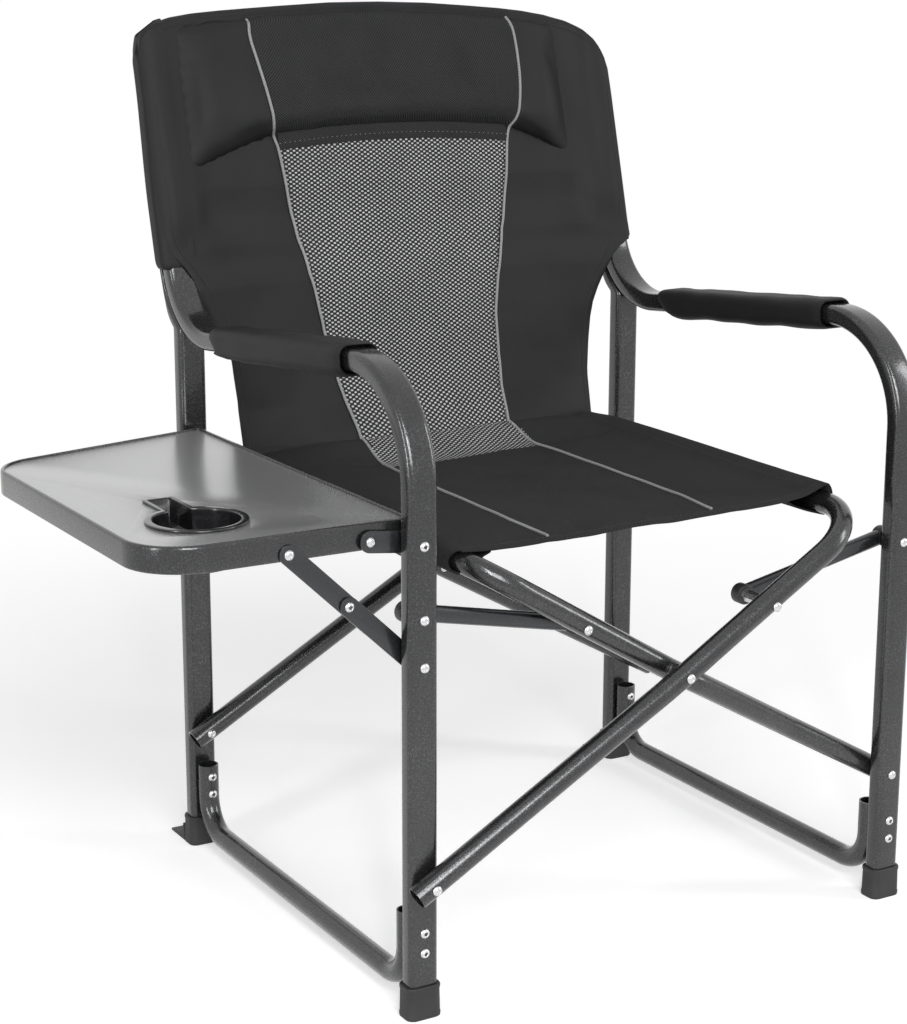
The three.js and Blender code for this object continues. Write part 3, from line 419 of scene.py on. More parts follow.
# Sweeps a rounded section along a line of points; each point's "bend" is its radius.
def tubeTree():
    tree, start, end = geometryTree("bentTube", [
        ("Width", "Float", 0.03), ("Depth", "Float", 0.02), ("Corner", "Float", 0.006),
        ("Bend Steps", "Int", 20),
        ("Side", "Vector", (1, 0, 0)), ("Fill Ends", "Bool", True), ("Finish", "Material", None)])
    given = start.outputs
    bend = geoNode(tree, "InputNamedAttribute", {"Name": "bend"}, data_type="FLOAT")
    line = geoNode(tree, "MeshToCurve", {"Mesh": given[0]})
    fillet = geoNode(tree, "FilletCurve", {"Curve": line, "Count": given["Bend Steps"],
        "Radius": bend, "Limit Radius": True}, mode="POLY")
    tilt = geoNode(tree, "SetCurveNormal", {"Curve": fillet, "Normal": given["Side"]}, mode="FREE")
    section = geoNode(tree, "CurvePrimitiveQuadrilateral",
        {"Width": given["Width"], "Height": given["Depth"]})
    rounded = geoNode(tree, "FilletCurve", {"Curve": section, "Count": 6, "Radius": given["Corner"],
        "Limit Radius": True}, mode="POLY")
    swept = geoNode(tree, "CurveToMesh", {"Curve": tilt, "Profile Curve": rounded,
        "Fill Caps": given["Fill Ends"]})
    clean = geoNode(tree, "MergeByDistance", {"Geometry": swept, "Distance": 0.00002})
    return endTree(tree, start, end, clean)


# Puts one rivet on each point, turned to the point's "aim".
def rivetTree():
    tree, start, end = geometryTree("rivets", [("Rivet", "Object", None), ("Size", "Float", 1.0),
        ("Finish", "Material", None)])
    aim = geoNode(tree, "InputNamedAttribute", {"Name": "aim"}, data_type="FLOAT_VECTOR")
    rivet = putNode(tree, "GeometryNodeObjectInfo",
        {"Object": start.outputs["Rivet"]}).outputs["Geometry"]
    turn = putNode(tree, "FunctionNodeAlignRotationToVector", {"Vector": aim}, axis="Z").outputs[0]
    each = geoNode(tree, "InstanceOnPoints", {"Points": start.outputs[0], "Instance": rivet,
        "Rotation": turn, "Scale": start.outputs["Size"]})
    return endTree(tree, start, end, each)


# Round cord along a line: piping.
def pipingTree():
    tree, start, end = geometryTree("piping", [("Radius", "Float", 0.0016),
        ("Step", "Float", 0.004), ("Finish", "Material", None)])
    line = geoNode(tree, "MeshToCurve", {"Mesh": start.outputs[0]})
    even = geoNode(tree, "ResampleCurve", {"Curve": line, "Length": start.outputs["Step"]},
        mode="LENGTH")
    ring = geoNode(tree, "CurvePrimitiveCircle",
        {"Resolution": 8, "Radius": start.outputs["Radius"]})
    swept = geoNode(tree, "CurveToMesh", {"Curve": even, "Profile Curve": ring, "Fill Caps": True})
    return endTree(tree, start, end, swept)


# Lays short threads along a line.
def stitchTree():
    tree, start, end = geometryTree("stitches", [
        ("Pitch", "Float", 0.004), ("Length", "Float", 0.0026), ("Thread", "Float", 0.0004),
        ("Finish", "Material", None)])
    given = start.outputs
    line = geoNode(tree, "MeshToCurve", {"Mesh": given[0]})
    dots = putNode(tree, "GeometryNodeCurveToPoints", {"Curve": line, "Length": given["Pitch"]},
        mode="LENGTH").outputs
    stitch = geoNode(tree, "MeshUVSphere", {"Segments": 6, "Rings": 4, "Radius": 1.0})
    turn = putNode(tree, "FunctionNodeAlignRotationToVector", {"Vector": dots["Tangent"]},
        axis="Z").outputs[0]
    half = mathNode(tree, "MULTIPLY", given["Length"], 0.5)
    size = putNode(tree, "ShaderNodeCombineXYZ", {0: given["Thread"], 1: given["Thread"],
        2: half}).outputs[0]
    each = geoNode(tree, "InstanceOnPoints", {"Points": dots[0], "Instance": stitch,
        "Rotation": turn, "Scale": size})
    return endTree(tree, start, end, each)


trees = {"tube": tubeTree(), "rivets": rivetTree(), "piping": pipingTree(),
    "stitches": stitchTree()}


# Lines of points as a mesh, in millimetres; a point's fourth value is its bend radius.
def lineObject(name, lines):
    verts, edges, radii = [], [], []
    for line in lines:
        base = len(verts)
        verts += [place(*p[:3]) for p in line]
        radii += [(p[3] if len(p) > 3 else 0) / 1000 for p in line]
        edges += [(base + i, base + i + 1) for i in range(len(line) - 1)]
    obj = meshObject(name, verts, [], edges)
    obj.data.attributes.new("bend", "FLOAT", "POINT").data.foreach_set("value", radii)
    return obj


def tube(name, corners, width, depth, corner, side, finish, steps=20, wall=0):
    obj = lineObject(name, [corners])
    useTree(obj, trees["tube"], **{
        "Width": width / 1000, "Depth": depth / 1000, "Corner": corner / 1000, "Bend Steps": steps,
        "Side": side,
        "Fill Ends": not wall, "Finish": finishes[finish]})
    obj = outward(settle(obj))
    if wall:
        shell = obj.modifiers.new("wall", "SOLIDIFY")
        shell.thickness = wall / 1000
        shell.offset = -1
        settle(obj)
    return smooth(obj, 40)


def carry(obj, body, slot, *nodes):
    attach(obj, body)
    if nodes:
        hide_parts(*nodes)
    return obj


# Side frames.
armFrame = {
    "width": 30, "depth": 20, "corner": 6.4, "armHeight": 604, "fall": 5, "frontBend": 100,
    "setback": 492.4, "rearBend": 90, "lean": 15, "top": 800, "foot": 4.3, "bendSteps": 26,
}
rearLeg = {
    "front": 487, "flat": 5.2, "crimp": 50, "tip": 646.4, "gap": 0.6, "below": (60, 30, 15),
    "rows": (22, 6), "dent": 3.2, "dentWidth": 8, "dentSpan": (-14, 22, 46), "tipIn": 0.8,
}

lean = radians(armFrame["lean"])
cornerY = armFrame["depth"] / 2 + armFrame["setback"]
cornerZ = armFrame["armHeight"] - armFrame["setback"] * tan(radians(armFrame["fall"]))
rearTurn = radians(90 - armFrame["lean"] + armFrame["fall"])
bendRun = armFrame["rearBend"] * tan(rearTurn / 2)
uprightStart = (cornerY + bendRun * sin(lean), cornerZ + bendRun * cos(lean))
bendCentre = (uprightStart[0] - armFrame["rearBend"] * cos(lean),
    uprightStart[1] + armFrame["rearBend"] * sin(lean))


def uprightY(z):
    return uprightStart[0] + (z - uprightStart[1]) * tan(lean)


# Face of the upright and its bend at a height: offset is half the depth behind, minus it in front.
def uprightFace(z, offset):
    if z >= uprightStart[1] - offset * sin(lean):
        return uprightY(z) + offset / cos(lean)
    reach = armFrame["rearBend"] + offset
    return bendCentre[0] + sqrt(reach ** 2 - (bendCentre[1] - z) ** 2)


def makeArmFrame(side, x):
    middle = armFrame["depth"] / 2
    corners = [
        (x, middle, armFrame["foot"]),
        (x, middle, armFrame["armHeight"], armFrame["frontBend"]),
        (x, cornerY, cornerZ, armFrame["rearBend"]),
        (x, uprightY(armFrame["top"]), armFrame["top"]),
    ]
    obj = tube(f"armTube_{side}", corners, armFrame["width"], armFrame["depth"], armFrame["corner"],
        (1, 0, 0), "hammertone", armFrame["bendSteps"])
    return carry(obj, f"{side}_side", "hammertone_paint", f"arm_frame_{side}")


crimpStart = (bendCentre[1] - sqrt((armFrame["rearBend"] + armFrame["depth"] / 2) ** 2
    - (rearLeg["front"] - rearLeg["gap"] - bendCentre[0]) ** 2))


# The rear leg's top is pressed flat; a pinched hollow runs down its rear face.
def makeRearLeg(side, x):
    rings = []
    far, near, last = rearLeg["below"]
    heights = [armFrame["foot"], crimpStart - far, crimpStart - near]
    heights += list(np.linspace(crimpStart - last, crimpStart + rearLeg["crimp"],
        rearLeg["rows"][0]))
    heights += (list(np.linspace(crimpStart + rearLeg["crimp"] + 6, rearLeg["tip"] - 1.2,
        rearLeg["rows"][1])) + [rearLeg["tip"]])
    opens, deepest, closes = (crimpStart + rise for rise in rearLeg["dentSpan"])
    for z in heights:
        pressed = smoothstep(crimpStart, crimpStart + rearLeg["crimp"], z)
        depth = armFrame["depth"] + (rearLeg["flat"] - armFrame["depth"]) * pressed
        front = (rearLeg["front"] if z <= crimpStart
            else uprightFace(z, armFrame["depth"] / 2) + rearLeg["gap"])
        dent = (rearLeg["dent"] * smoothstep(opens, deepest, z)
            * (1 - smoothstep(deepest, closes, z)))
        width = armFrame["width"] - (rearLeg["tipIn"] if z == rearLeg["tip"] else 0)
        ring = []
        for px, py in roundedBox(width, depth, armFrame["corner"], 9):
            inward = dent * exp(-((px / rearLeg["dentWidth"]) ** 2)) if py > 0 else 0
            ring.append((x + px, front + depth / 2 + py - inward, z))
        rings.append(ring)
    obj = smooth(paint(loft(f"rearLegTube_{side}", rings), finishes["hammertone"]), 50)
    return carry(obj, f"{side}_side", "hammertone_paint", f"rear_leg_{side}")


lowerRail = {"diameter": 22, "height": 22.5, "bend": 38, "end": 96, "wall": 1.5, "gap": 0.3}


def makeLowerRail(side, x):
    diameter, height, bend = lowerRail["diameter"], lowerRail["height"], lowerRail["bend"]
    front = armFrame["depth"] + lowerRail["gap"] + diameter / 2
    rear = rearLeg["front"] - lowerRail["gap"] - diameter / 2
    corners = [(x, front, lowerRail["end"]), (x, front, height, bend), (x, rear, height, bend),
        (x, rear, lowerRail["end"])]
    obj = tube(f"lowerRailTube_{side}", corners, diameter, diameter, diameter / 2 - 0.02, (1, 0, 0),
        "hammertone", 16, lowerRail["wall"])
    return carry(obj, f"{side}_side", "hammertone_paint", f"lower_rail_{side}")


boots = {
    "height": 32, "wall": 2.3, "sole": 4, "heelReach": 33, "heelThickness": 3, "heelRise": 20,
    "corner": 8, "lipLow": 4.4, "lipHigh": 0.8, "lipOut": 0.9, "soleOut": 1.4,
}


def bootRings(x, middle):
    top, sole, corner = boots["height"], boots["sole"], boots["corner"]
    stages = [(0, -0.6, corner - 0.5), (0.7, 1.0, corner), (sole, boots["soleOut"], corner),
        (sole + 1.2, 0.6, corner),
        (top - boots["lipLow"], 0, corner), (top - 3.6, boots["lipOut"], corner),
        (top - boots["lipHigh"], boots["lipOut"], corner), (top, -0.4, corner - 0.6)]
    rings = []
    for z, extra, radius in stages:
        grown = 2 * boots["wall"] + extra
        outline = roundedBox(armFrame["width"] + grown, armFrame["depth"] + grown, radius)
        rings.append([(x + px, middle + py, z) for px, py in outline])
    return rings


def makeBoots(side, x):
    front = smooth(paint(loft(f"frontBoot_{side}", bootRings(x, armFrame["depth"] / 2)),
        finishes["rubber"]), 30)
    carry(front, f"{side}_side", "dark_rubber", f"front_foot_{side}")
    middle = rearLeg["front"] + armFrame["depth"] / 2
    back = rearLeg["front"] + armFrame["depth"] + boots["wall"]
    half = (armFrame["width"] + 2 * boots["wall"]) / 2
    end, thick, rise = back + boots["heelReach"], boots["heelThickness"], boots["heelRise"]
    profile = [(back - 3, 0.2), (end - 0.8, 0.2), (end, 1.2), (end - 0.6, thick),
        (back + 14, thick + 1.6), (back + 7, thick + 5),
        (back + 2.5, rise - 6), (back, rise), (back - 3, rise)]
    heel = settle(bevelled(loft("heel", [[(x + edge, y, z) for y, z in profile]
        for edge in (-half, half)]), 1.2, 3, 50))
    boot = loft(f"rearBoot_{side}", bootRings(x, middle))
    boot = smooth(paint(joined(f"rearBoot_{side}", [boot, heel]), finishes["rubber"]), 30)
    carry(boot, f"{side}_side", "dark_rubber", f"rear_foot_{side}")


for side, x in (("left", -sideX), ("right", sideX)):
    makeArmFrame(side, x)
    makeRearLeg(side, x)
    makeLowerRail(side, x)
    makeBoots(side, x)
print("side frames made")

# Scissor frames.
scissor = {
    "diameter": 22, "pivot": 134, "crossing": 288.2, "railReach": 250, "railRise": 8, "bend": 60,
    "crossingBend": 700, "overhang": 17, "washer": 3, "gap": 0.3, "kickFromCrossing": 40,
    "kickFromPivot": 130, "kickBend": 80, "wall": 1.5,
}
tubeRadius = scissor["diameter"] / 2
armLength = hypot(sideX, scissor["crossing"] - scissor["pivot"])
scissorAngle = atan2(sideX, scissor["crossing"] - scissor["pivot"])
frontA = -scissor["gap"] - tubeRadius
frontB = scissor["washer"] + scissor["gap"] + tubeRadius
rearA = rearLeg["front"] - scissor["gap"] - tubeRadius
rearB = rearA - scissor["diameter"] - scissor["washer"] - 2 * scissor["gap"]
kickB = armFrame["depth"] + scissor["gap"] + tubeRadius


# From a frame's own axes (x up the arm, z square to it) to the chair; sign is 1 for frame A.
def fromArm(x, y, z, sign):
    s, c = sin(scissorAngle), cos(scissorAngle)
    return (sign * x * s - z * c, y, scissor["crossing"] + x * c + sign * z * s)


def makeCross(name, node, front, rear, sign, kick):
    low = -armLength - scissor["overhang"]
    rise = sign * scissor["railRise"]
    run = [(low, front, 0, 0)]
    if kick:
        run = [(low, kick, 0, 0), (-armLength + scissor["kickFromPivot"], kick, 0,
            scissor["kickBend"]), (-scissor["kickFromCrossing"], front, 0, scissor["kickBend"])]
    run += [(0, front, 0, scissor["crossingBend"]),
        (scissor["railReach"], front, rise, scissor["bend"]),
        (scissor["railReach"], rear, rise, scissor["bend"]), (0, rear, 0, scissor["crossingBend"]),
        (low, rear, 0, 0)]
    corners = [(*fromArm(x, y, z, sign), bend) for x, y, z, bend in run]
    across = Vector(fromArm(0, 0, 1, sign)) - Vector(fromArm(0, 0, 0, sign))
    obj = tube(name, corners, scissor["diameter"], scissor["diameter"], tubeRadius - 0.02,
        tuple(across), "hammertone", 18, scissor["wall"])
    return carry(obj, node, "hammertone_paint", node)


makeCross("crossTube_a", "cross_frame_a", frontA, rearA, 1, 0)
makeCross("crossTube_b", "cross_frame_b", frontB, rearB, -1, kickB)
print("scissor frames made")

# Links.
linkSet = {"width": 16, "thickness": 12, "corner": 5.6, "end": 10, "inset": 0.55, "proud": 0.4,
    "segments": 40}


def nodeMiddle(name):
    low, high = nodeBox(name)
    return (low + high) / 2


def makeLink(name, body):
    start, finish = nodeMiddle(f"{name}_leg_end"), nodeMiddle(f"{name}_arm_end")
    finish.y = start.y
    run = (finish - start).normalized()
    inset = run * linkSet["end"] * linkSet["inset"]
    bar = tube(f"{name}_bar", [tuple(start + inset), tuple(finish - inset)], linkSet["thickness"],
        linkSet["width"], linkSet["corner"], (0, 1, 0), "linkPaint", 2)
    carry(bar, body, "link_paint", f"{name}_tube")
    half, radius = linkSet["thickness"] / 2 + linkSet["proud"], linkSet["end"]
    stages = [(-half, radius - 1.4), (-half + 0.5, radius - 0.4), (-half + 1.4, radius),
        (half - 1.4, radius), (half - 0.5, radius - 0.4), (half, radius - 1.4)]
    turns = np.linspace(0, 2 * pi, linkSet["segments"], endpoint=False)
    for end, at in (("leg", start), ("arm", finish)):
        rings = [[(at.x + r * cos(t), at.y + along, at.z + r * sin(t)) for t in turns]
            for along, r in stages]
        boss = smooth(paint(loft(f"{name}_{end}Boss", rings), finishes["plastic"]))
        carry(boss, body, "black_plastic", f"{name}_{end}_end")


for side in ("left", "right"):
    for end in ("front", "rear"):
        makeLink(f"link_{end}_{side}", f"{side}_links")
print("links made")

# Rivets.
# Profiles run up from the foot, as shares of the radius and of the head's height.
rivetSet = {
    "head": 4.8, "core": 1.45, "height": 2.5, "sunkAhead": 2.4, "sunkBehind": 1.9,
    "headProfile": [(0.9, -0.24), (1, 0), (0.985, 0.22), (0.86, 0.55), (0.68, 0.82), (0.52, 0.97),
        (0.45, 1), (0.39, 0.94), (0.36, 0.4), (0.16, 0.35),
        (0, 0.35)],
    "coreProfile": [(1, 0.2), (1, 0.68), (0.6, 0.82), (0, 0.86)],
}


# Turned solid standing on z = 0, with its tip on the axis.
def turned(name, radius, profile, count):
    verts, faces = [], [tuple(range(count - 1, -1, -1))]
    for share, rise in profile[:-1]:
        r, z = radius * share / 1000, rivetSet["height"] * rise / 1000
        verts += [(r * cos(2 * pi * i / count), r * sin(2 * pi * i / count), z)
            for i in range(count)]
    top = len(verts) - count
    for base in range(0, top, count):
        faces += [(base + i, base + (i + 1) % count, base + count + (i + 1) % count,
            base + count + i) for i in range(count)]
    verts.append((0, 0, rivetSet["height"] * profile[-1][1] / 1000))
    faces += [(top + i, top + (i + 1) % count, top + count) for i in range(count)]
    return smooth(outward(meshObject(name, verts, faces)), 60)


# Domed head with the small pit that its mandrel leaves, and the mandrel's dark end in the pit.
headShape = turned("rivetHead", rivetSet["head"], rivetSet["headProfile"], 24)
coreShape = turned("rivetCore", rivetSet["core"], rivetSet["coreProfile"], 12)


def putRivets(name, body, spots):
    parts = []
    for shape, finish in ((headShape, "rivet"), (coreShape, "steel")):
        obj = meshObject(name + finish, [place(*p) for p, aim in spots], [])
        attribute = obj.data.attributes.new("aim", "FLOAT_VECTOR", "POINT")
        attribute.data.foreach_set("vector", [c for p, aim in spots for c in aim])
        useTree(obj, trees["rivets"], Rivet=shape, Size=1.0, Finish=finishes[finish])
        parts.append(settle(obj))
    return carry(joined(name, parts), body, "bright_rivet")


ahead, behind = (0, -1, 0), (0, 1, 0)


def bothEnds(node):
    low, high = nodeBox(node)
    x, z = (low.x + high.x) / 2, (low.z + high.z) / 2
    return [((x, low.y + rivetSet["sunkAhead"], z), ahead),
        ((x, high.y - rivetSet["sunkBehind"], z), behind)]


legRivets = {"rail": (64.5, 84), "railInset": 0.6, "tongueRises": (45, 66), "tongueProud": 0.97,
    "bracket": 447}
pivotRivets = ["centre_rivet_front", "centre_rivet_rear", "brace_table_rivet"]
pivotRivets += [f"link_arm_rivet_{end}_{side}" for end in ("front", "rear")
    for side in ("left", "right")]
for side, x in (("left", -sideX), ("right", sideX)):
    spots = []
    rearFace = rearLeg["front"] + armFrame["depth"]
    railRoom = lowerRail["gap"] + lowerRail["diameter"] - legRivets["railInset"]
    for z in legRivets["rail"]:
        spots += [((x, 0, z), ahead), ((x, rearFace, z), behind)]
        spots += [((x, armFrame["depth"] + railRoom, z), behind),
            ((x, rearLeg["front"] - railRoom, z), ahead)]
    for rise in legRivets["tongueRises"]:
        z = crimpStart + rise
        y = (uprightFace(z, armFrame["depth"] / 2) + rearLeg["gap"]
            + rearLeg["flat"] * legRivets["tongueProud"])
        spots.append(((x, y, z), (0, cos(lean), -sin(lean))))
    own = [f"link_leg_rivet_front_{side}", f"link_leg_rivet_rear_{side}",
        f"pivot_rivet_front_{side}", f"pivot_rivet_rear_{side}"]
    if side == "left":
        own += ["brace_leg_rivet", "table_hinge_rivet_front", "table_hinge_rivet_rear"]
    for node in own:
        spots += bothEnds(node)
    if side == "left":
        spots += [((x, 0.0, legRivets["bracket"]), ahead),
            ((x, rearFace, legRivets["bracket"]), behind)]
    putRivets(f"rivets_{side}", f"{side}_side", spots)
    pivotRivets += own

putRivets("rivets_a", "cross_frame_a",
    bothEnds("centre_rivet_front") + bothEnds("centre_rivet_rear")
    + bothEnds("link_arm_rivet_front_right")[:1] + bothEnds("link_arm_rivet_rear_right")[1:])
putRivets("rivets_b", "cross_frame_b",
    bothEnds("link_arm_rivet_front_left")[:1] + bothEnds("link_arm_rivet_rear_left")[:1])
putRivets("rivets_table", "table", bothEnds("brace_table_rivet")[:1])
# Shanks and spacers are the frame's own solids.
for node in pivotRivets:
    paint(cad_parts[node], finishes["rivet"])
print("rivets set")

# Side table.
tableSet = {
    "inner": 272, "outer": 524, "frontGap": 5.2, "rearGap": 5.2, "taper": 14.4, "top": 468,
    "band": 24, "lip": 4, "wall": 1.6, "corner": 55, "innerCorner": 7, "panelDrop": 1.8, "panel": 4,
    "panelInset": 1.9, "cupRoom": 1.8, "cupWall": 1.5, "cupX": 439, "cupSetback": 88.8,
    "opening": 78, "flange": 92, "floor": 66, "depth": 40, "slotWidth": 22, "slotReach": 86,
    "slotRim": 4, "slotDepth": 22,
}
tableFront = armFrame["depth"] + tableSet["frontGap"]
tableRear = rearLeg["front"] - tableSet["rearGap"]
cupY = tableFront + tableSet["cupSetback"]


def tableOutline(inset, points=14):
    taper = radians(tableSet["taper"])
    inner, outer, front = -tableSet["inner"] - inset, -tableSet["outer"] + inset, tableFront + inset

    def rearAt(x):
        return tableRear - (-tableSet["inner"] - x) * tan(taper) - inset / cos(taper)

    corner, innerCorner = tableSet["corner"] - inset, max(tableSet["innerCorner"] - inset, 0.6)
    spots = [(outer, front, corner), (inner, front, innerCorner),
        (inner, rearAt(inner), innerCorner), (outer, rearAt(outer), corner)]
    line = []
    for i, (x, y, radius) in enumerate(spots):
        here = Vector((x, y))
        into = (here - Vector(spots[i - 1][:2])).normalized()
        out = (Vector(spots[(i + 1) % 4][:2]) - here).normalized()
        turn = acos(max(-1, min(1, into.dot(out))))
        start = here - into * radius * tan(turn / 2)
        left = Vector((-into.y, into.x))
        for k in range(points):
            angle = turn * k / (points - 1)
            line.append(start + into * radius * sin(angle) + left * radius * (1 - cos(angle)))
    return line


def makeTable():
    top, low = tableSet["top"], tableSet["top"] - tableSet["band"]
    lip, wall = tableSet["lip"], tableSet["wall"]
    # section of the band, as inset from the outline and height
    section = [(1.2, low), (0.25, low + 0.9), (0, low + 2.4), (0, top - 3.0), (0.3, top - 1.4),
        (1.1, top - 0.4), (2.2, top),
        (lip - 0.4, top), (lip, top - 0.5), (lip, top - 1.5), (wall, top - 1.6), (wall, low + 1.6),
        (lip, low + 1.5), (lip, low)]
    lines = [tableOutline(inset) for inset, z in section]
    count = len(lines[0])
    verts = [place(p.x, p.y, z) for line, (inset, z) in zip(lines, section) for p in line]
    faces = []
    for r in range(len(section)):
        for i in range(count):
            a, b = r * count, ((r + 1) % len(section)) * count
            faces.append((a + i, a + (i + 1) % count, b + (i + 1) % count, b + i))
    band = smooth(paint(outward(meshObject("tableBand", verts, faces)), finishes["hammertone"]), 32)
    carry(band, "table", "hammertone_paint", "table_frame")
    room, panelTop = tableSet["cupRoom"], top - tableSet["panelDrop"]
    hole = keyhole(tableSet["opening"] / 2 + room, tableSet["slotWidth"] / 2 + room,
        tableSet["slotReach"] + room)
    panel = slab("tableTopPanel", [tableOutline(tableSet["panelInset"], 12), hole],
        panelTop - tableSet["panel"], panelTop, 0.3)
    carry(paint(panel, finishes["table"]), "table", "table_grey", "table_panel")


# Outline of the round opening with its slot for a handle.
def keyhole(radius, half, reach, points=72):
    start = asin(min(1, half / radius))
    line = []
    for k in range(points):
        angle = pi / 2 + start + (2 * pi - 2 * start) * k / (points - 1)
        line.append(Vector((-tableSet["cupX"] + radius * cos(angle), cupY + radius * sin(angle))))
    for sign in (1, -1):
        r = min(3.0, half / 2)
        arc = [(sign * (half - r) + sign * r * cos(t), reach - r + r * sin(t))
            for t in np.linspace(0, pi / 2, 6)]
        if sign == -1:
            arc = arc[::-1]
        line += [Vector((-tableSet["cupX"] + px, cupY + py)) for px, py in arc]
    return line


# Flat slab with holes and softened edges.
def slab(name, outlines, low, high, edge):
    curve = bpy.data.curves.new(name, "CURVE")
    curve.dimensions = "2D"
    curve.fill_mode = "BOTH"
    for line in outlines:
        spline = curve.splines.new("POLY")
        spline.points.add(len(line) - 1)
        for point, spot in zip(spline.points, line):
            here = place(spot.x, spot.y, 0)
            point.co = (here.x, here.y, 0, 1)
        spline.use_cyclic_u = True
    curve.extrude = (high - low) / 2000 - edge / 1000
    curve.bevel_depth = edge / 1000
    curve.bevel_resolution = 2
    curve.offset = -edge / 1000
    obj = settle(linkObject(bpy.data.objects.new(name, curve)))
    obj.data.transform(Matrix.Translation((0, 0, (low + high) / 2000)))
    return smooth(outward(obj))


# Round solid about the cup's axis, from rows of radius and height.
def cupWell(name, rows):
    turns = np.linspace(0, 2 * pi, 72, endpoint=False)
    return loft(name, [[(-tableSet["cupX"] + r * cos(t), cupY + r * sin(t), z) for t in turns]
        for r, z in rows])


# Block from the cup's axis to the end of its slot.
def slotBlock(name, half, reach, low, high):
    corners = [(-half, 0), (half, 0), (half, reach), (-half, reach)]
    return loft(name, [[(-tableSet["cupX"] + x, cupY + y, z) for x, y in corners]
        for z in (low, high)])


def boolean(obj, other, operation):
    modifier = obj.modifiers.new(operation, "BOOLEAN")
    modifier.operation = operation
    modifier.object = other
    modifier.solver = "EXACT"
    settle(obj)
    bpy.data.objects.remove(other)
    return obj


def makeCup():
    top, wall, rim = tableSet["top"], tableSet["cupWall"], tableSet["slotRim"]
    flangeLow, floor, slotFloor = top - wall, top - tableSet["depth"], top - tableSet["slotDepth"]
    base, opening = tableSet["floor"] / 2, tableSet["opening"] / 2
    half, reach = tableSet["slotWidth"] / 2, tableSet["slotReach"]
    cup = cupWell("cupHolder", [(base - 2, floor - wall), (base + wall, floor + 2),
        (opening + wall, flangeLow - 1), (opening + wall, top - 0.7)])
    cup = boolean(cup, slotBlock("trough", half + wall, reach + wall, slotFloor - wall, top - 0.7),
        "UNION")
    hollow = cupWell("hollow", [(base - 3, floor), (base, floor + 3), (opening, flangeLow),
        (opening, top + 2)])
    cup = boolean(cup, hollow, "DIFFERENCE")
    cup = boolean(cup, slotBlock("handleSpace", half, reach, slotFloor, top + 2), "DIFFERENCE")
    cup = settle(bevelled(cup, 0.6, 2, 35))
    outlines = [keyhole(tableSet["flange"] / 2, half + rim, reach + rim),
        keyhole(opening, half, reach)]
    cup = joined("cupHolder", [cup, slab("cupFlange", outlines, flangeLow, top + 0.4, 0.8)])
    carry(smooth(paint(cup, finishes["gloss"])), "table", "gloss_black", "cup_holder")


makeTable()
makeCup()


# Flat bar with round ends between two pivots.
def makeBar(name, node, body, a, b, width, y):
    angle = atan2(b[1] - a[1], b[0] - a[0])
    line = []
    for (px, pz), base in ((a, angle + pi / 2), (b, angle - pi / 2)):
        line += [(px + width / 2 * cos(base + pi * k / 14),
            pz + width / 2 * sin(base + pi * k / 14)) for k in range(15)]
    obj = loft(name, [[(px, depth, pz) for px, pz in line]
        for depth in (y, y + hardware["thickness"])])
    obj = smooth(paint(settle(bevelled(obj, 0.45, 2, 50)), finishes["linkPaint"]))
    return carry(obj, body, "link_paint", node)


hardware = {
    "bar": 18, "bracketBar": 20, "thickness": 2, "gap": 0.4, "hinge": (-317, 452), "bracketZ": 447,
    "braceLeg": 336.4, "braceTable": (-394.7, 450), "kneeShare": 0.528, "tail": 30,
}


def makeHardware():
    thickness, gap = hardware["thickness"], hardware["gap"]
    post, leg = (-sideX, hardware["bracketZ"]), (-sideX, hardware["braceLeg"])
    end = hardware["braceTable"]
    knee = tuple(leg[i] + hardware["kneeShare"] * (end[i] - leg[i]) for i in (0, 1))
    reach = hypot(knee[0] - leg[0], knee[1] - leg[1])
    tail = tuple(knee[i] + hardware["tail"] / reach * (leg[i] - knee[i]) for i in (0, 1))
    front, rear = armFrame["depth"] + gap, rearLeg["front"] - gap - thickness
    for name, node, body, a, b, width, y in (
            ("bracketFront", "table_bracket_front", "left_side", post, hardware["hinge"],
                hardware["bracketBar"], front),
            ("bracketRear", "table_bracket_rear", "left_side", post, hardware["hinge"],
                hardware["bracketBar"], rear),
            ("braceLowerBar", "brace_lower", "brace_lower", leg, knee, hardware["bar"], front),
            ("braceUpperBar", "brace_upper", "brace_upper", tail, end, hardware["bar"],
                front + thickness + gap)):
        makeBar(name, node, body, a, b, width, y)
    putRivets("rivet_knee", "brace_lower", [((knee[0], front, knee[1]), ahead)])


makeHardware()
print("side table made")

# Soft goods.
seatRailX = scissor["railReach"] * sin(scissorAngle) - scissor["railRise"] * cos(scissorAngle)
seatRailZ = (scissor["crossing"] + scissor["railReach"] * cos(scissorAngle)
    + scissor["railRise"] * sin(scissorAngle))


def setCloth(obj, places):
    layer = obj.data.uv_layers.new(name="cloth")
    index = np.zeros(len(obj.data.loops), np.int32)
    obj.data.loops.foreach_get("vertex_index", index)
    layer.data.foreach_set("uv", (np.array(places, np.float32)[index] / 1000).ravel())
    return obj


# Lays the cloth map flat from where a piece's points are, in two directions.
def flatCloth(obj, axes=(0, 2)):
    third = 3 - axes[0] - axes[1]
    places = []
    for v in obj.data.vertices:
        p = local(v.co)
        places.append((p[axes[0]] + 0.6 * p[third], p[axes[1]]))
    return setCloth(obj, places)


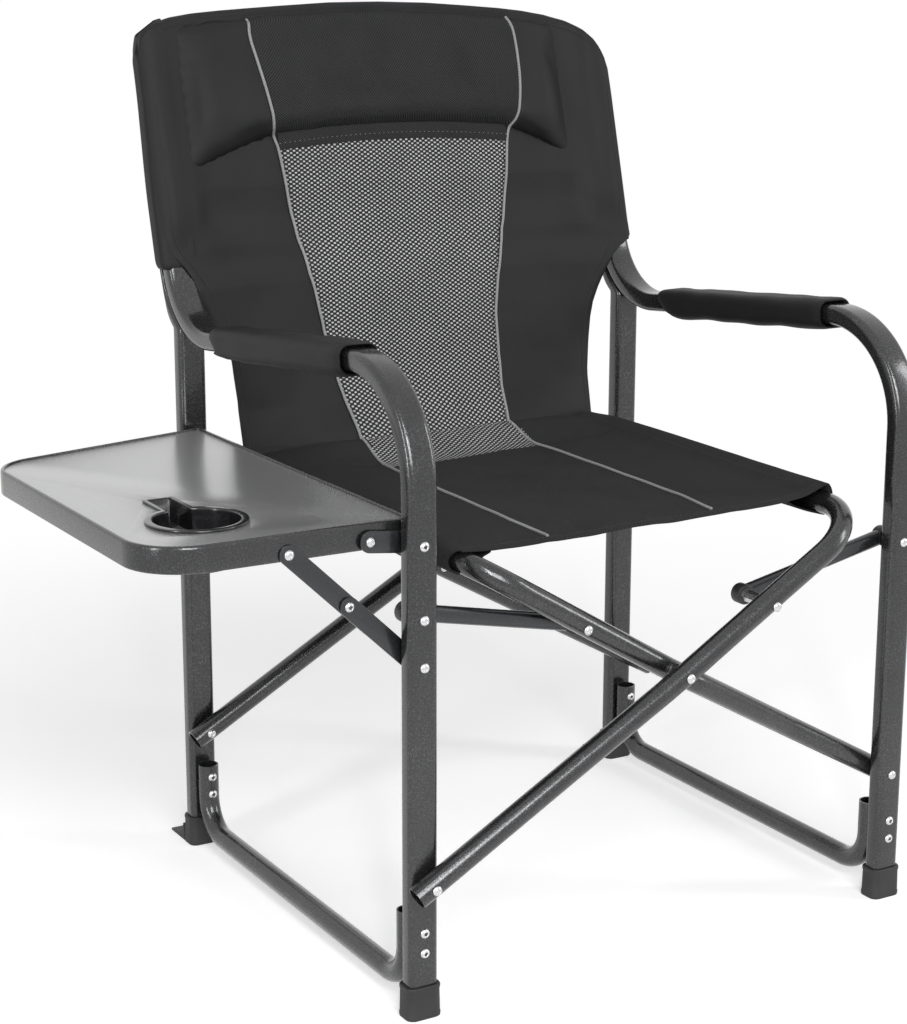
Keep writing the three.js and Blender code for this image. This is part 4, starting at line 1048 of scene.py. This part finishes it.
# Two skins of equal grids, front and rear, closed round their rim.
def quilt(name, front, rear, columns, rows, cloth, kindAt=lambda i, j: 0, rimKind=0):
    base = len(front)
    faces, kinds = [], []
    for j in range(rows):
        for i in range(columns):
            a = j * (columns + 1) + i
            b = a + columns + 1
            faces += [(a, a + 1, b + 1, b), (base + a, base + b, base + b + 1, base + a + 1)]
            kinds += [kindAt(i, j), 0]
    count = columns + 1
    rim = list(range(count)) + [r * count + columns for r in range(1, rows + 1)]
    rim += ([rows * count + i for i in range(columns - 1, -1, -1)]
        + [r * count for r in range(rows - 1, 0, -1)])
    for k, a in enumerate(rim):
        b = rim[(k + 1) % len(rim)]
        faces.append((a, base + a, base + b, b))
        kinds.append(rimKind)
    obj = meshObject(name, [place(*p) for p in front + rear], faces)
    obj.data.polygons.foreach_set("material_index", kinds)
    setCloth(obj, cloth + cloth)
    return outward(obj, merge=False)


backSet = {
    "thickness": 6, "ahead": 3.2, "foot": 428, "topRow": 880, "crown": 5.0, "crownAt": 275,
    "crownHalf": 17, "fold": 1.8, "foldPitch": 17, "waves": (2.6, 1.0), "rim": 3.0, "seam": 1.1,
    "pipeSeam": 0.9, "rearSeam": 0.5, "columns": (34, 44, 34), "rows": 170, "hem": 9, "keep": 0.24,
    "half": [(435, 222), (487, 223), (523, 226.5), (545, 229), (562, 233), (580, 241), (597, 250),
        (612, 259), (630, 271), (645, 282), (660, 288.5), (677, 290.5), (700, 291.2),
        (900, 291.2)],
    "wider": [(530, 0), (550, 6), (565, 10), (590, 10), (597, 10), (605, 7.5), (612, 4), (620, 1.5),
        (632, 0), (660, 0), (680, 1.3), (900, 1.3)],
    "top": [(-292.5, 850), (-291.5, 860), (-288, 869.5), (-281, 876), (-270, 881), (-252, 885.5),
        (-225, 889), (-190, 892), (-127, 896), (-60, 899.5), (0, 900), (60, 898.5), (107, 895.5),
        (155, 892), (184, 889), (215, 884), (240, 877.5), (260, 868), (274, 855), (283, 840),
        (289, 820), (291.2, 795)],
    "edge": [(431, 478), (478, 489), (516, 493), (557, 495), (590, 498), (608, 499.5), (622, 502.5),
        (636, 507), (650, 512.7)],
    "sink": [(435, -27), (450, -24), (478, -11), (510, 0), (556, 12), (605, 16), (650, 19),
        (680, 16), (710, 10), (750, 8), (870, 8), (897, 5)],
    "piping": [(435, 93), (450, 94), (478, 97), (500, 100), (540, 104), (560, 106), (600, 113),
        (630, 121), (660, 131), (680, 135), (700, 138), (740, 143), (750, 144.6), (760, 148),
        (770, 151.5), (780, 153.6), (800, 157), (820, 160), (840, 162.5), (860, 165), (870, 165),
        (880, 163), (900, 158)],
    "slack": [(435, 0), (450, 1), (500, 4), (554, 7), (617, 6.5), (640, 3), (665, 0), (900, 0)],
}


def backEdge(z):
    if z <= 650:
        return table(backSet["edge"], z)
    return uprightFace(z, -armFrame["depth"] / 2) - backSet["ahead"]


def backTopAt(x):
    return table(backSet["top"], x)


# Half of the back's width at a height; the left edge reaches the arm's bend.
def backHalf(x, z):
    return table(backSet["half"], z) + (table(backSet["wider"], z) if x < 0 else 0)


# Place of the piping at a height, to the left (-1) or right (1); the left one runs wider low down.
def pipingAt(sign, z):
    return sign * table(backSet["piping"], z) - (table(backSet["slack"], z) if sign < 0 else 0)


# Front of the back at a place: it spans between the uprights, sunk behind them, and comes
# forward at its foot.
def backFront(x, z):
    share = min(1, abs(x) / backHalf(x, z))
    onUpright = smoothstep(630, 700, z)
    across = (1 - share ** 2.6) * (1 - onUpright) + (1 - smoothstep(222, 258, abs(x))) * onUpright
    y = backEdge(z) + table(backSet["sink"], z) * across
    y -= (backSet["crown"] * onUpright
        * cos(min(1, abs(abs(x) - backSet["crownAt"]) / backSet["crownHalf"]) * pi / 2))
    slant = sin((abs(x) * 0.62 + (z - 560) * 0.75) / backSet["foldPitch"])
    folds = slant * smoothstep(0.5, 0.8, share) * (1 - smoothstep(0.88, 0.99, share))
    y += backSet["fold"] * folds * smoothstep(450, 530, z) * (1 - smoothstep(640, 700, z))
    wide, fine = backSet["waves"]
    waves = (wide * noise.noise(Vector((x / 75, z / 95, 3.1)))
        + fine * noise.noise(Vector((x / 24, z / 60, 7.7))))
    return y + waves * (1 - smoothstep(0.9, 1, share))


def backPlace(i, row, rows):
    left, middle, right = backSet["columns"]
    v = row / rows
    z0 = backSet["foot"] + v * (backSet["topRow"] - backSet["foot"])
    first, last = pipingAt(-1, z0), pipingAt(1, z0)
    half = backHalf(-1 if i < left else 1, z0)
    if i < left:
        x = -half + (half + first) * i / left
    elif i <= left + middle:
        x = first + (last - first) * (i - left) / middle
    else:
        x = last + (half - last) * (i - left - middle) / right
    z = backSet["foot"] + v * (backTopAt(x) - backSet["foot"])
    return x, z, abs(first if x < 0 else last), half


def makeBack():
    left, middle, right = backSet["columns"]
    columns, rows = left + middle + right, backSet["rows"]
    front, rear, cloth = [], [], []
    for row in range(rows + 1):
        for i in range(columns + 1):
            x, z, pipe, half = backPlace(i, row, rows)
            edge = max(0.0, min(half - abs(x), backTopAt(x) - z, z - backSet["foot"]))
            bend = backSet["rim"] * (1 - rounding(edge / backSet["rim"]))
            seam = (backSet["seam"] * bell(edge - backSet["hem"], 1.3)
                + backSet["pipeSeam"] * bell(abs(x) - pipe, 1.8))
            rearSeam = backSet["rearSeam"] * bell(edge - backSet["hem"], 1.1)
            y = backFront(x, z)
            front.append((x, y + bend + seam, z))
            rear.append((x, y + backSet["thickness"] - bend - rearSeam, z))
            cloth.append((x, z))

    def kindAt(i, j):
        if not left <= i < left + middle:
            return 0
        x, z = backPlace(i, j, rows)[:2]
        return 1 if z < stripBottom(x) + 3 else 2

    obj = quilt("backCover", front, rear, columns, rows, cloth, kindAt, 3)
    kinds = ("weave", "spacerMesh", "fineMesh", "binding")
    return smooth(paint(obj, *(finishes[kind] for kind in kinds)), 60)


headrestSet = {
    "half": (252, 228), "bottom": 761, "arch": 7, "hem": 8, "swell": 19, "sunk": 4.5, "voxel": 4.5,
    "pressure": 4, "cap": 4, "strip": 15, "side": 36, "power": 0.62, "flat": 143, "foot": (17, 62),
    "head": 7, "easing": 0.6, "grid": (96, 34), "dip": 2.2, "dipWidth": 8, "wrinkle": 1.3,
    "proud": 3.6,
    "drop": [(-252, 34), (-223, 25), (-180, 10), (-143, 0), (143, 0), (180, 14), (223, 33),
        (240, 38)],
}


# Lower edge of the headrest's roll, and of the strip below it.
def rollBottom(x):
    share = min(abs(x), headrestSet["flat"]) / headrestSet["flat"]
    return (headrestSet["bottom"] + headrestSet["arch"] * (1 - share ** 2)
        - table(headrestSet["drop"], x))


def stripBottom(x):
    return rollBottom(x) - headrestSet["strip"]


pocketSet = {"side": {"left": 6, "right": 1.5}, "ahead": 1.4, "behind": 4.6,
    "bottom": {"left": 630, "right": 656}, "corner": 8, "close": 13, "foot": 9, "crease": 0.8,
    "slim": 0.19}


# Bag of cloth round the top of an upright, closed over the top along the back's outline.
def makePocket(side, x):
    width = armFrame["width"] + 2 * pocketSet["side"][side]
    bottom = pocketSet["bottom"][side] + pocketSet["foot"]
    depth = (armFrame["depth"] + pocketSet["ahead"] + pocketSet["behind"]) / cos(lean)
    shift = (pocketSet["behind"] - pocketSet["ahead"]) / 2 / cos(lean)
    outline = roundedBox(width, depth, pocketSet["corner"], 8)
    stages = ([("foot", a) for a in np.linspace(-pi / 2, 0, 6)[1:]]
        + [("run", t) for t in np.linspace(0, 1, 46)[1:-1]])
    stages += [("top", a) for a in np.linspace(0, pi / 2, 8)[:-1]]
    rings = []
    for kind, t in stages:
        ring = []
        for px, py in outline:
            topZ = backTopAt(x + px) - 0.6
            closing = topZ - pocketSet["close"]
            if kind == "foot":
                z, scale = bottom + pocketSet["foot"] * sin(t), 0.72 + 0.28 * cos(t)
            elif kind == "run":
                z, scale = bottom + t * (closing - bottom), 1
            else:
                z, scale = closing + pocketSet["close"] * sin(t), cos(t)
            crease = pocketSet["crease"] * noise.noise(Vector((px / 15, py / 15, z / 24 + x)))
            slim = 1 - pocketSet["slim"] * smoothstep(690, 830, z) if side == "left" else 1
            narrow = 0.5 + 0.5 * scale if kind == "foot" else slim
            ring.append((x + px * narrow + crease * 0.5,
                uprightY(z) + shift + (py + crease) * scale, z))
        rings.append(ring)
    return smooth(paint(loft(f"backPocket_{side}", rings), finishes["weave"]), 70)


# Cloth that rides the left side and closes up with the back.
def onBack(obj, slot, *nodes):
    carry(obj, "left_side", slot, *nodes)
    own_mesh(obj)


back = makeBack()
onBack(back, "woven_fabric", "back_panel")
for side, x in (("left", -sideX), ("right", sideX)):
    pocket = carry(flatCloth(makePocket(side, x)), f"{side}_side", "woven_fabric")
print("back made")


# Share of the headrest's full swell at a place: round at its foot, easing off to its ends and
# its hem.
def headrestSwell(x, z):
    low, high = rollBottom(x), backTopAt(x) - headrestSet["hem"]
    end = headrestSet["half"][0 if x < 0 else 1]
    side = smoothstep(0, headrestSet["side"], end - abs(x)) ** headrestSet["power"]
    middle, outer = headrestSet["foot"]
    run = middle + (outer - middle) * smoothstep(headrestSet["flat"], 215, abs(x))
    foot = rounding((z - low) / run) if z > low else 0
    head = 1 - headrestSet["easing"] * smoothstep(0.35, 1.0, (z - low) / (high - low))
    top = rounding((high - z) / headrestSet["head"]) if z < high else 0
    return side * foot * head * top


# Stuffed headrest sewn on the back.
def makeHeadrest():
    columns, rows = headrestSet["grid"]
    front, rear = [], []
    ahead = Vector((0, -cos(lean), sin(lean)))
    for j in range(rows + 1):
        for i in range(columns + 1):
            x = -headrestSet["half"][0] + i / columns * sum(headrestSet["half"])
            low, high = rollBottom(x), backTopAt(x) - headrestSet["hem"]
            z = low + j / rows * (high - low)
            dip = (headrestSet["dip"] * bell(abs(x) - table(backSet["piping"], z),
                headrestSet["dipWidth"]))
            wrinkle = headrestSet["wrinkle"] * noise.noise(Vector((x / 30, z / 80, 1.7)))
            y = backFront(x, z)
            lift = (-headrestSet["sunk"] + headrestSet["proud"]
                + (headrestSet["swell"] - dip + wrinkle) * headrestSwell(x, z))
            front.append((x, y + ahead.y * lift, z + ahead.z * (lift - 2) * 0.5))
            rear.append((x, y + headrestSet["sunk"], z))
    obj = quilt("headrestPad", front, rear, columns, rows, [(p[0], p[2]) for p in front])
    obj.data.uv_layers.remove(obj.data.uv_layers[0])
    return obj


# Voxel remesh, then a short pressure simulation; each point's travel is capped, least where the
# piece is thin.
def inflate(obj, voxel, pressure, cap, share, frames=20):
    remesh = obj.modifiers.new("remesh", "REMESH")
    remesh.mode = "VOXEL"
    remesh.voxel_size = voxel / 1000
    settle(obj)
    rest = np.array([v.co[:] for v in obj.data.vertices])
    cloth = obj.modifiers.new("cloth", "CLOTH")
    cloth.settings.use_pressure = True
    cloth.settings.uniform_pressure_force = pressure
    cloth.settings.effector_weights.gravity = 0
    cloth.settings.quality = 6
    cloth.point_cache.frame_start, cloth.point_cache.frame_end = 1, frames
    for step in range(1, frames + 1):
        bpy.context.scene.frame_set(step)
    settle(obj)
    bpy.context.scene.frame_set(1)
    moved = np.array([v.co[:] for v in obj.data.vertices])
    shift = moved - rest
    length = np.linalg.norm(shift, axis=1, keepdims=True)
    caps = np.array([[cap / 1000 * share(local(p))] for p in rest])
    shift *= np.minimum(1, caps / np.maximum(length, 1e-9))
    obj.data.vertices.foreach_set("co", (rest + shift).ravel())
    return obj


def subdivide(obj, levels=1):
    modifier = obj.modifiers.new("smooth", "SUBSURF")
    modifier.levels = modifier.render_levels = levels
    return settle(obj)


# Keeps the pad's back inside the cover, and gives it its two cloths.
def dressHeadrest(obj):
    for v in obj.data.vertices:
        p = local(v.co)
        p.y = min(p.y, backFront(p.x, p.z) + headrestSet["sunk"])
        p.z = min(p.z, backTopAt(p.x) - 1.5)
        v.co = place(*p)
    flatCloth(obj)
    kinds = [1 if abs(local(f.center).x) < table(backSet["piping"], local(f.center).z) else 0
        for f in obj.data.polygons]
    obj.data.polygons.foreach_set("material_index", kinds)
    return smooth(paint(obj, finishes["weave"], finishes["fineMesh"]), 180)


headrest = makeHeadrest()
inflate(headrest, headrestSet["voxel"], headrestSet["pressure"], headrestSet["cap"],
    lambda p: min(1, 1.5 * headrestSwell(p.x, p.z)))
subdivide(headrest)
dressHeadrest(headrest)
onBack(headrest, "black_mesh", "headrest_pad")
print("headrest made")


# Strip of dark mesh sewn below the headrest, between the lines of piping.
def makeStrip():
    columns, rows = 60, 5
    front, rear, cloth = [], [], []
    for j in range(rows + 1):
        for i in range(columns + 1):
            share = -1 + 2 * i / columns
            x = share * (table(backSet["piping"], stripBottom(140)) - 0.5)
            z = stripBottom(x) + j / rows * (headrestSet["strip"] + 3)
            crown = 1.6 * sqrt(max(0.05, 1 - (2 * j / rows - 1) ** 2))
            y = backFront(x, z)
            front.append((x, y - 0.5 - crown, z))
            rear.append((x, y + 1.5, z))
            cloth.append((x, z))
    obj = quilt("headrestStrip", front, rear, columns, rows, cloth)
    return smooth(paint(obj, finishes["fineMesh"]), 60)


strip = makeStrip()
onBack(strip, "black_mesh")

# Seat: a padded sling hemmed round both rails; its rear runs up to the back.
seatSet = {
    "hem": 15, "inner": 11.5, "sag": 9, "rear": 452, "meet": 434, "rearRise": 12, "thickness": 3.4,
    "crease": 398,
    "front": [(-236, 42), (-214, 37), (-181, 39), (-113, 49), (-10, 53.5), (95, 46), (151, 44),
        (200, 46), (214, 48.5), (236, 58)],
    "piping": [(44, 94), (70, 95), (120, 101), (220, 103), (290, 102), (350, 100), (400, 96),
        (455, 93)],
    "drift": [(44, -15), (400, -2.5)], "meshEnd": [(-130, 384), (-36, 385), (6, 392), (48, 397),
        (75, 393), (130, 392)],
    "arc": 20, "flat": 84, "rows": 110, "split": 98, "wrap": 172, "turnIn": 12,
    "seam": {-1: 32, 1: 46}, "hang": {-1: 4.5, 1: 3}, "fold": 1.4, "droop": 4, "swell": 5.5,
    "dip": 3.5, "dipAt": -110, "dipWidth": 80, "lift": 3.5, "creaseDepth": 2.2, "creaseWidth": 3.4,
    "waves": (1.2, 0.5), "rim": 3, "rimDepth": 1.7, "flare": 14, "slack": 0.8,
}


def seatTop(x, y):
    share = min(1, abs(x) / seatRailX)
    rear = smoothstep(seatSet["crease"] - 6, seatSet["rear"] + 4, y)
    sag = seatSet["sag"] * (1 - share ** 2.2) * (1 - 0.85 * rear)
    dip = (seatSet["dip"] * bell(x - seatSet["dipAt"], seatSet["dipWidth"])
        * (1 - smoothstep(50, 150, y)))
    lift = seatSet["rearRise"] * rear ** 1.5 * (1 - share ** 4)
    lift += seatSet["lift"] * smoothstep(60, 400, y) * (1 - smoothstep(415, 478, y)) * share ** 4
    crease = (seatSet["creaseDepth"] * bell(y - seatSet["crease"] + 6 * (x / 200) ** 2,
        seatSet["creaseWidth"]))
    crease *= smoothstep(95, 110, abs(x)) * (1 - smoothstep(170, 205, abs(x)))
    wide, fine = seatSet["waves"]
    waves = (wide * noise.noise(Vector((x / 60, y / 85, 9.0)))
        + fine * noise.noise(Vector((x / 22, y / 50, 4.0))))
    soft = waves * (1 - share ** 6)
    droop = (seatSet["droop"] * smoothstep(-90, -200, x) * (1 - smoothstep(40, 85, y))
        if x < 0 else 0)
    swell = seatSet["swell"] * smoothstep(0.84, 1, x / seatRailX)
    return seatRailZ + seatSet["hem"] - sag - dip + lift - crease + soft - droop + swell


def makeSeat():
    arc, flat, rows = seatSet["arc"], seatSet["flat"], seatSet["rows"]
    wrap = radians(seatSet["wrap"])
    wrapped = ([(wrap * (i + 1) / arc, 0) for i in range(arc)]
        + [(wrap, (i + 1) / seatSet["turnIn"]) for i in range(seatSet["turnIn"])])
    stations = ([(-1, turned, home) for turned, home in reversed(wrapped)]
        + [(-1 + 2 * i / flat, 0, 0) for i in range(flat + 1)])
    stations += [(1, turned, home) for turned, home in wrapped]
    split = seatSet["split"]
    top, under, cloth = [], [], []
    for j in range(rows + 1):
        for share, turned, home in stations:
            x = share * seatRailX
            sign = 1 if share > 0 else -1
            front = (table(seatSet["front"], x + seatSet["flare"] * sin(turned) * sign)
                + 4 * smoothstep(0.6, 1.9, turned) + 9 * sin(pi * home))
            rear = backFront(x, seatSet["meet"]) + 2 - 46 * smoothstep(0, 1.7, turned)
            meshEnd = table(seatSet["meshEnd"], x)
            y = (front + j / split * (meshEnd - front) if j <= split
                else meshEnd + (j - split) / (rows - split) * (rear - meshEnd))
            if turned == 0:
                z = seatTop(x, y)
                edge = min(y - front, rear - y)
                roll = seatSet["rimDepth"] * (1 - rounding(edge / seatSet["rim"]))
                top.append((x, y, z - roll))
                under.append((x, y, z - seatSet["thickness"] + roll))
                cloth.append((x, y))
            else:
                lift = ((seatTop(x, y) - seatRailZ - seatSet["hem"])
                    * (1 - smoothstep(0, 1.2, turned)))
                slack = seatSet["slack"] * noise.noise(Vector((y / 30, turned * 2, 5 + share)))
                outer = seatSet["hem"] + slack * sin(turned) - 1.5 * smoothstep(1.2, 1.9, turned)
                seamX = x - sign * seatSet["seam"][sign]
                seamZ = seatTop(seamX, y) - seatSet["thickness"] - seatSet["fold"] + 0.4
                hang = seatSet["hang"][sign] * sin(pi * home)
                outerX = x + sign * outer * sin(turned)
                outerZ = seatRailZ + outer * cos(turned) + lift
                innerX = x + sign * seatSet["inner"] * sin(turned)
                innerZ = seatRailZ + seatSet["inner"] * cos(turned) + min(0, lift * 0.3)
                top.append((outerX + home * (seamX - outerX), y,
                    outerZ + home * (seamZ - outerZ) - hang))
                under.append((innerX + home * (seamX - innerX), y,
                    innerZ + home * (seamZ + seatSet["fold"] - innerZ) - hang))
                cloth.append((x + sign * (turned * outer + home * seatSet["seam"][sign]), y))
    columns = len(stations) - 1

    def kindAt(i, j):
        x, y = cloth[j * (columns + 1) + i]
        if abs(x - table(seatSet["drift"], y)) > table(seatSet["piping"], y):
            return 0
        return 1 if j >= split else 2

    obj = quilt("seatSling", top, under, columns, rows, cloth, kindAt, 3)
    # Outside the piping the seat takes the lighter copy of the black weave, whose extra lightness
    # is painted light.
    kinds = ("seatWeave", "spacerMesh", "fineMesh", "binding")
    return smooth(paint(obj, *(finishes[kind] for kind in kinds)), 60)


def acrossSeat(obj):
    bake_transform(obj)


seat = makeSeat()
acrossSeat(seat)
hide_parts("seat_panel")
print("seat made")


# Piping and stitches.
def makeLine(name, tree, lines, **values):
    obj = lineObject(name, lines)
    useTree(obj, trees[tree], **values)
    settle(obj)
    return flatCloth(smooth(obj, 180))


# First surface met from the front: the headrest where it is, and the cover elsewhere.
def clothFront(x, z):
    hit, where = headrest.ray_cast(place(x, 300, z), Vector((0, 1, 0)))[:2]
    y = backFront(x, z)
    return min(y, local(where).y) if hit else y


pipingSet = {
    "radius": 1.6, "sunk": 0.45, "step": 4, "stitch": 3.6, "proud": 0.1, "seatProud": 0.15,
    "beside": 4,
    "stripStitch": {"Pitch": 0.0058, "Length": 0.0018, "Thread": 0.0003}, "stripRise": 7,
    "stripProud": 2.4,
}
radius, proud = pipingSet["radius"], pipingSet["proud"]
sunk = radius * pipingSet["sunk"]
thread = {"Pitch": pipingSet["stitch"] / 1000, "Finish": finishes["thread"]}
backLines, seatLines, stitchLines = [], [], []
for sign in (-1, 1):
    heights = np.arange(434, 886, pipingSet["step"])
    line = [(pipingAt(sign, z), z) for z in heights]
    backLines.append([(x, clothFront(x, z) - sunk, z) for x, z in line])
    for beside in (-pipingSet["beside"], pipingSet["beside"]):
        stitchLines.append([(x + beside, clothFront(x + beside, z) - proud, z) for x, z in line])
    line = [(sign * table(seatSet["piping"], y) + table(seatSet["drift"], y), y)
        for y in np.arange(60, 452, 6)]
    seatLines.append([(x, y, seatTop(x, y) + sunk) for x, y in line])
pipes = makeLine("backPiping", "piping", backLines, Radius=radius / 1000, Finish=finishes["piping"])
onBack(pipes, "woven_fabric")
pipes = makeLine("seatPiping", "piping", seatLines, Radius=radius / 1000, Finish=finishes["piping"])
acrossSeat(pipes)

# Rows of thread: beside the piping, along the cover's hems, and pale ones on the strip.
for sign in (-1, 1):
    line = []
    for z in np.arange(442, 806, 5):
        x = sign * (table(backSet["half"], z) - backSet["hem"])
        line.append((x, backFront(x, z) - proud, z))
    stitchLines.append(line)
line = [(x, backTopAt(x) - backSet["hem"]) for x in np.arange(-262, 263, 6)]
stitchLines.append([(x, backFront(x, z) - proud, z) for x, z in line])
threads = makeLine("backStitches", "stitches", stitchLines, **thread)
onBack(threads, "woven_fabric")
line = [(x, stripBottom(x) + pipingSet["stripRise"]) for x in np.arange(-142, 143, 4)]
line = [(x, clothFront(x, z) - pipingSet["stripProud"], z) for x, z in line]
threads = makeLine("stripStitches", "stitches", [line], Finish=finishes["piping"],
    **pipingSet["stripStitch"])
onBack(threads, "woven_fabric")
lines = [[(x, table(seatSet["front"], x) + 9) for x in np.arange(-205, 206, 6)]]
lines += [[(x, y) for y in np.arange(62, 450, 6)] for x in (16 - seatRailX, seatRailX - 16)]
lines = [[(x, y, seatTop(x, y) + pipingSet["seatProud"]) for x, y in line] for line in lines]
threads = makeLine("seatStitches", "stitches", lines, **thread)
acrossSeat(threads)
print("piping and stitches laid")

# Armrest sleeves.
sleeveSet = {"half": 22, "over": 4.7, "corner": 11, "steps": 64, "shy": 22, "slant": 26,
    "mouth": 13, "room": (5, 4), "tab": 5}


# Padded sleeve round the arm, open at both ends; its rear end is cut on a slant.
def makeSleeve(side, x):
    low, high = nodeBox(f"armrest_sleeve_{side}")
    fall = radians(armFrame["fall"])
    width, depth = 2 * sleeveSet["half"], armFrame["depth"] + 2 * sleeveSet["over"]
    outer = roundedBox(width, depth, sleeveSet["corner"], 10)
    inner = roundedBox(armFrame["width"] + sleeveSet["room"][0],
        armFrame["depth"] + sleeveSet["room"][1], armFrame["corner"] + 2, 10)

    def spot(px, py, y):
        drop = (y - armFrame["depth"] / 2) * tan(fall)
        return x + px, y + py * sin(fall), armFrame["armHeight"] - drop + py * cos(fall)

    def along(t, py):
        below = max(0, min(1, 0.5 - py / depth))
        stop = high.y - sleeveSet["shy"] - sleeveSet["slant"] * below ** 1.6
        return low.y + 0.6 + t * (stop - low.y - 0.6)

    rings = []
    for k in range(sleeveSet["steps"] + 1):
        t = k / sleeveSet["steps"]
        ring = []
        for px, py in outer:
            y = along(t, py)
            near = min(t, 1 - t) * (high.y - low.y)
            tight = 1 - 0.1 * exp(-near / 5)
            crown = 1.4 * (1 - (px / sleeveSet["half"]) ** 2)
            sag = 1.6 * (0.6 + noise.noise(Vector((y / 42, x, 3)))) if py < 0 else 0
            soft = (1.1 * noise.noise(Vector((px / 18, py / 18 + x, y / 34)))
                + 0.5 * noise.noise(Vector((px / 30, 2 + x, y / 9))) * exp(-near / 40))
            tab = (sleeveSet["tab"] * exp(-((px + 20) / 5) ** 2) if k == sleeveSet["steps"]
                and py < -depth * 0.3 and side == "left" else 0)
            reach = py * tight + (crown + soft) * (1 if py > 0 else -0.4) - sag * tight
            ring.append(spot(px * tight + soft * 0.5 - tab * 0.4, reach, y + tab))
        rings.append(ring)
    lip = [[(0.5 * (p[0] + q[0]), 0.5 * (p[1] + q[1])) for p, q in zip(outer, inner)], inner, inner]
    for atRear in (False, True):
        for outline, inset in zip(lip, (-0.8, 1.5, sleeveSet["mouth"])):
            ring = [spot(px, py, along(1 if atRear else 0, py) + (-inset if atRear else inset))
                for px, py in outline]
            rings = rings + [ring] if atRear else [ring] + rings
    obj = loft(f"armSleeve_{side}", rings)
    flatCloth(obj, (0, 1))
    smooth(paint(obj, finishes["weave"]), 60)
    carry(obj, f"{side}_side", "woven_fabric", f"armrest_sleeve_{side}")


for side, x in (("left", -sideX), ("right", sideX)):
    makeSleeve(side, x)
print("sleeves made")

for shape in (headShape, coreShape):
    bpy.data.objects.remove(shape)

# Stage, light and camera.
stageSet = {"colour": 0.88, "near": 0.75, "far": 1.7, "glow": 0.4, "world": 0.36}


def seenByEye(tree):
    path = tree.nodes.new("ShaderNodeLightPath")
    other = mathNode(tree, "MAXIMUM", path.outputs["Is Glossy Ray"],
        path.outputs["Is Transmission Ray"])
    return mathNode(tree, "MAXIMUM", path.outputs["Is Camera Ray"], other)


# Pale floor that turns into the white background away from the chair.
def makeStage():
    floor = meshObject("floor", [(-9, -9, 0), (9, -9, 0), (9, 9, 0), (-9, 9, 0)], [(0, 1, 2, 3)])
    material, tree, shader = newFinish("paleFloor")
    away = putNode(tree, "ShaderNodeVectorMath", {0: objectPlace(tree)},
        operation="LENGTH").outputs["Value"]
    inputs = {"Value": away, "From Min": stageSet["near"], "From Max": stageSet["far"]}
    fade = putNode(tree, "ShaderNodeMapRange", inputs, interpolation_type="SMOOTHSTEP").outputs[0]
    glow = mapRange(tree, fade, 0, 1, stageSet["glow"], 1.0)
    dress(tree, shader, Base_Color=mixColour(tree, fade, (stageSet["colour"],) * 3, (0, 0, 0)),
        Emission_Color=(1, 1, 1, 1),
        Emission_Strength=mathNode(tree, "MULTIPLY", seenByEye(tree), glow),
        Roughness=0.9, Specular_IOR_Level=0.0)
    floor.data.materials.append(material)
    world = bpy.data.worlds.new("studio")
    bpy.context.scene.world = world
    world.use_nodes = True
    tree = world.node_tree
    background = tree.nodes["Background"]
    background.inputs["Color"].default_value = (1, 1, 1, 1)
    tree.links.new(mapRange(tree, seenByEye(tree), 0, 1, stageSet["world"], 1.0),
        background.inputs["Strength"])


lightSet = {
    "target": (0, 0, 0.45),
    "lights": [("keyLight", (-0.7, -2.8, 1.8), (1.3, 1.3), 52),
        ("streakLight", (-1.0, -2.2, 2.2), (0.16, 1.2), 14),
        ("fillLight", (-2.6, -0.9, 1.2), (0.4, 1.7), 22),
        ("sideLight", (2.4, -1.6, 1.5), (0.5, 1.6), 22)],
}


def makeLights():
    for name, at, size, power in lightSet["lights"]:
        light = bpy.data.lights.new(name, "AREA")
        light.shape = "RECTANGLE"
        light.size, light.size_y = size
        light.energy = power
        obj = linkObject(bpy.data.objects.new(name, light))
        obj.location = at
        aim = Vector(lightSet["target"]) - Vector(at)
        obj.rotation_euler = aim.to_track_quat("-Z", "Y").to_euler()


makeStage()
makeLights()

cameraSet = {"at": (-1201.64, -1629.55, 936.7), "target": (-245.94, -0.05, 474.8), "roll": 0.11,
    "lens": 78.31}


def makeCamera():
    data = bpy.data.cameras.new("camera")
    data.lens = cameraSet["lens"]
    data.sensor_width = 36
    data.clip_end = 50
    obj = linkObject(bpy.data.objects.new("camera", data))
    obj.location = place(*cameraSet["at"])
    aim = (place(*cameraSet["target"]) - obj.location).to_track_quat("-Z", "Y")
    obj.rotation_mode = "QUATERNION"
    roll = Matrix.Rotation(radians(cameraSet["roll"]), 3, "Z")
    obj.rotation_quaternion = aim @ roll.to_quaternion()
    bpy.context.scene.camera = obj


makeCamera()
bpy.context.scene.view_settings.view_transform = "Standard"
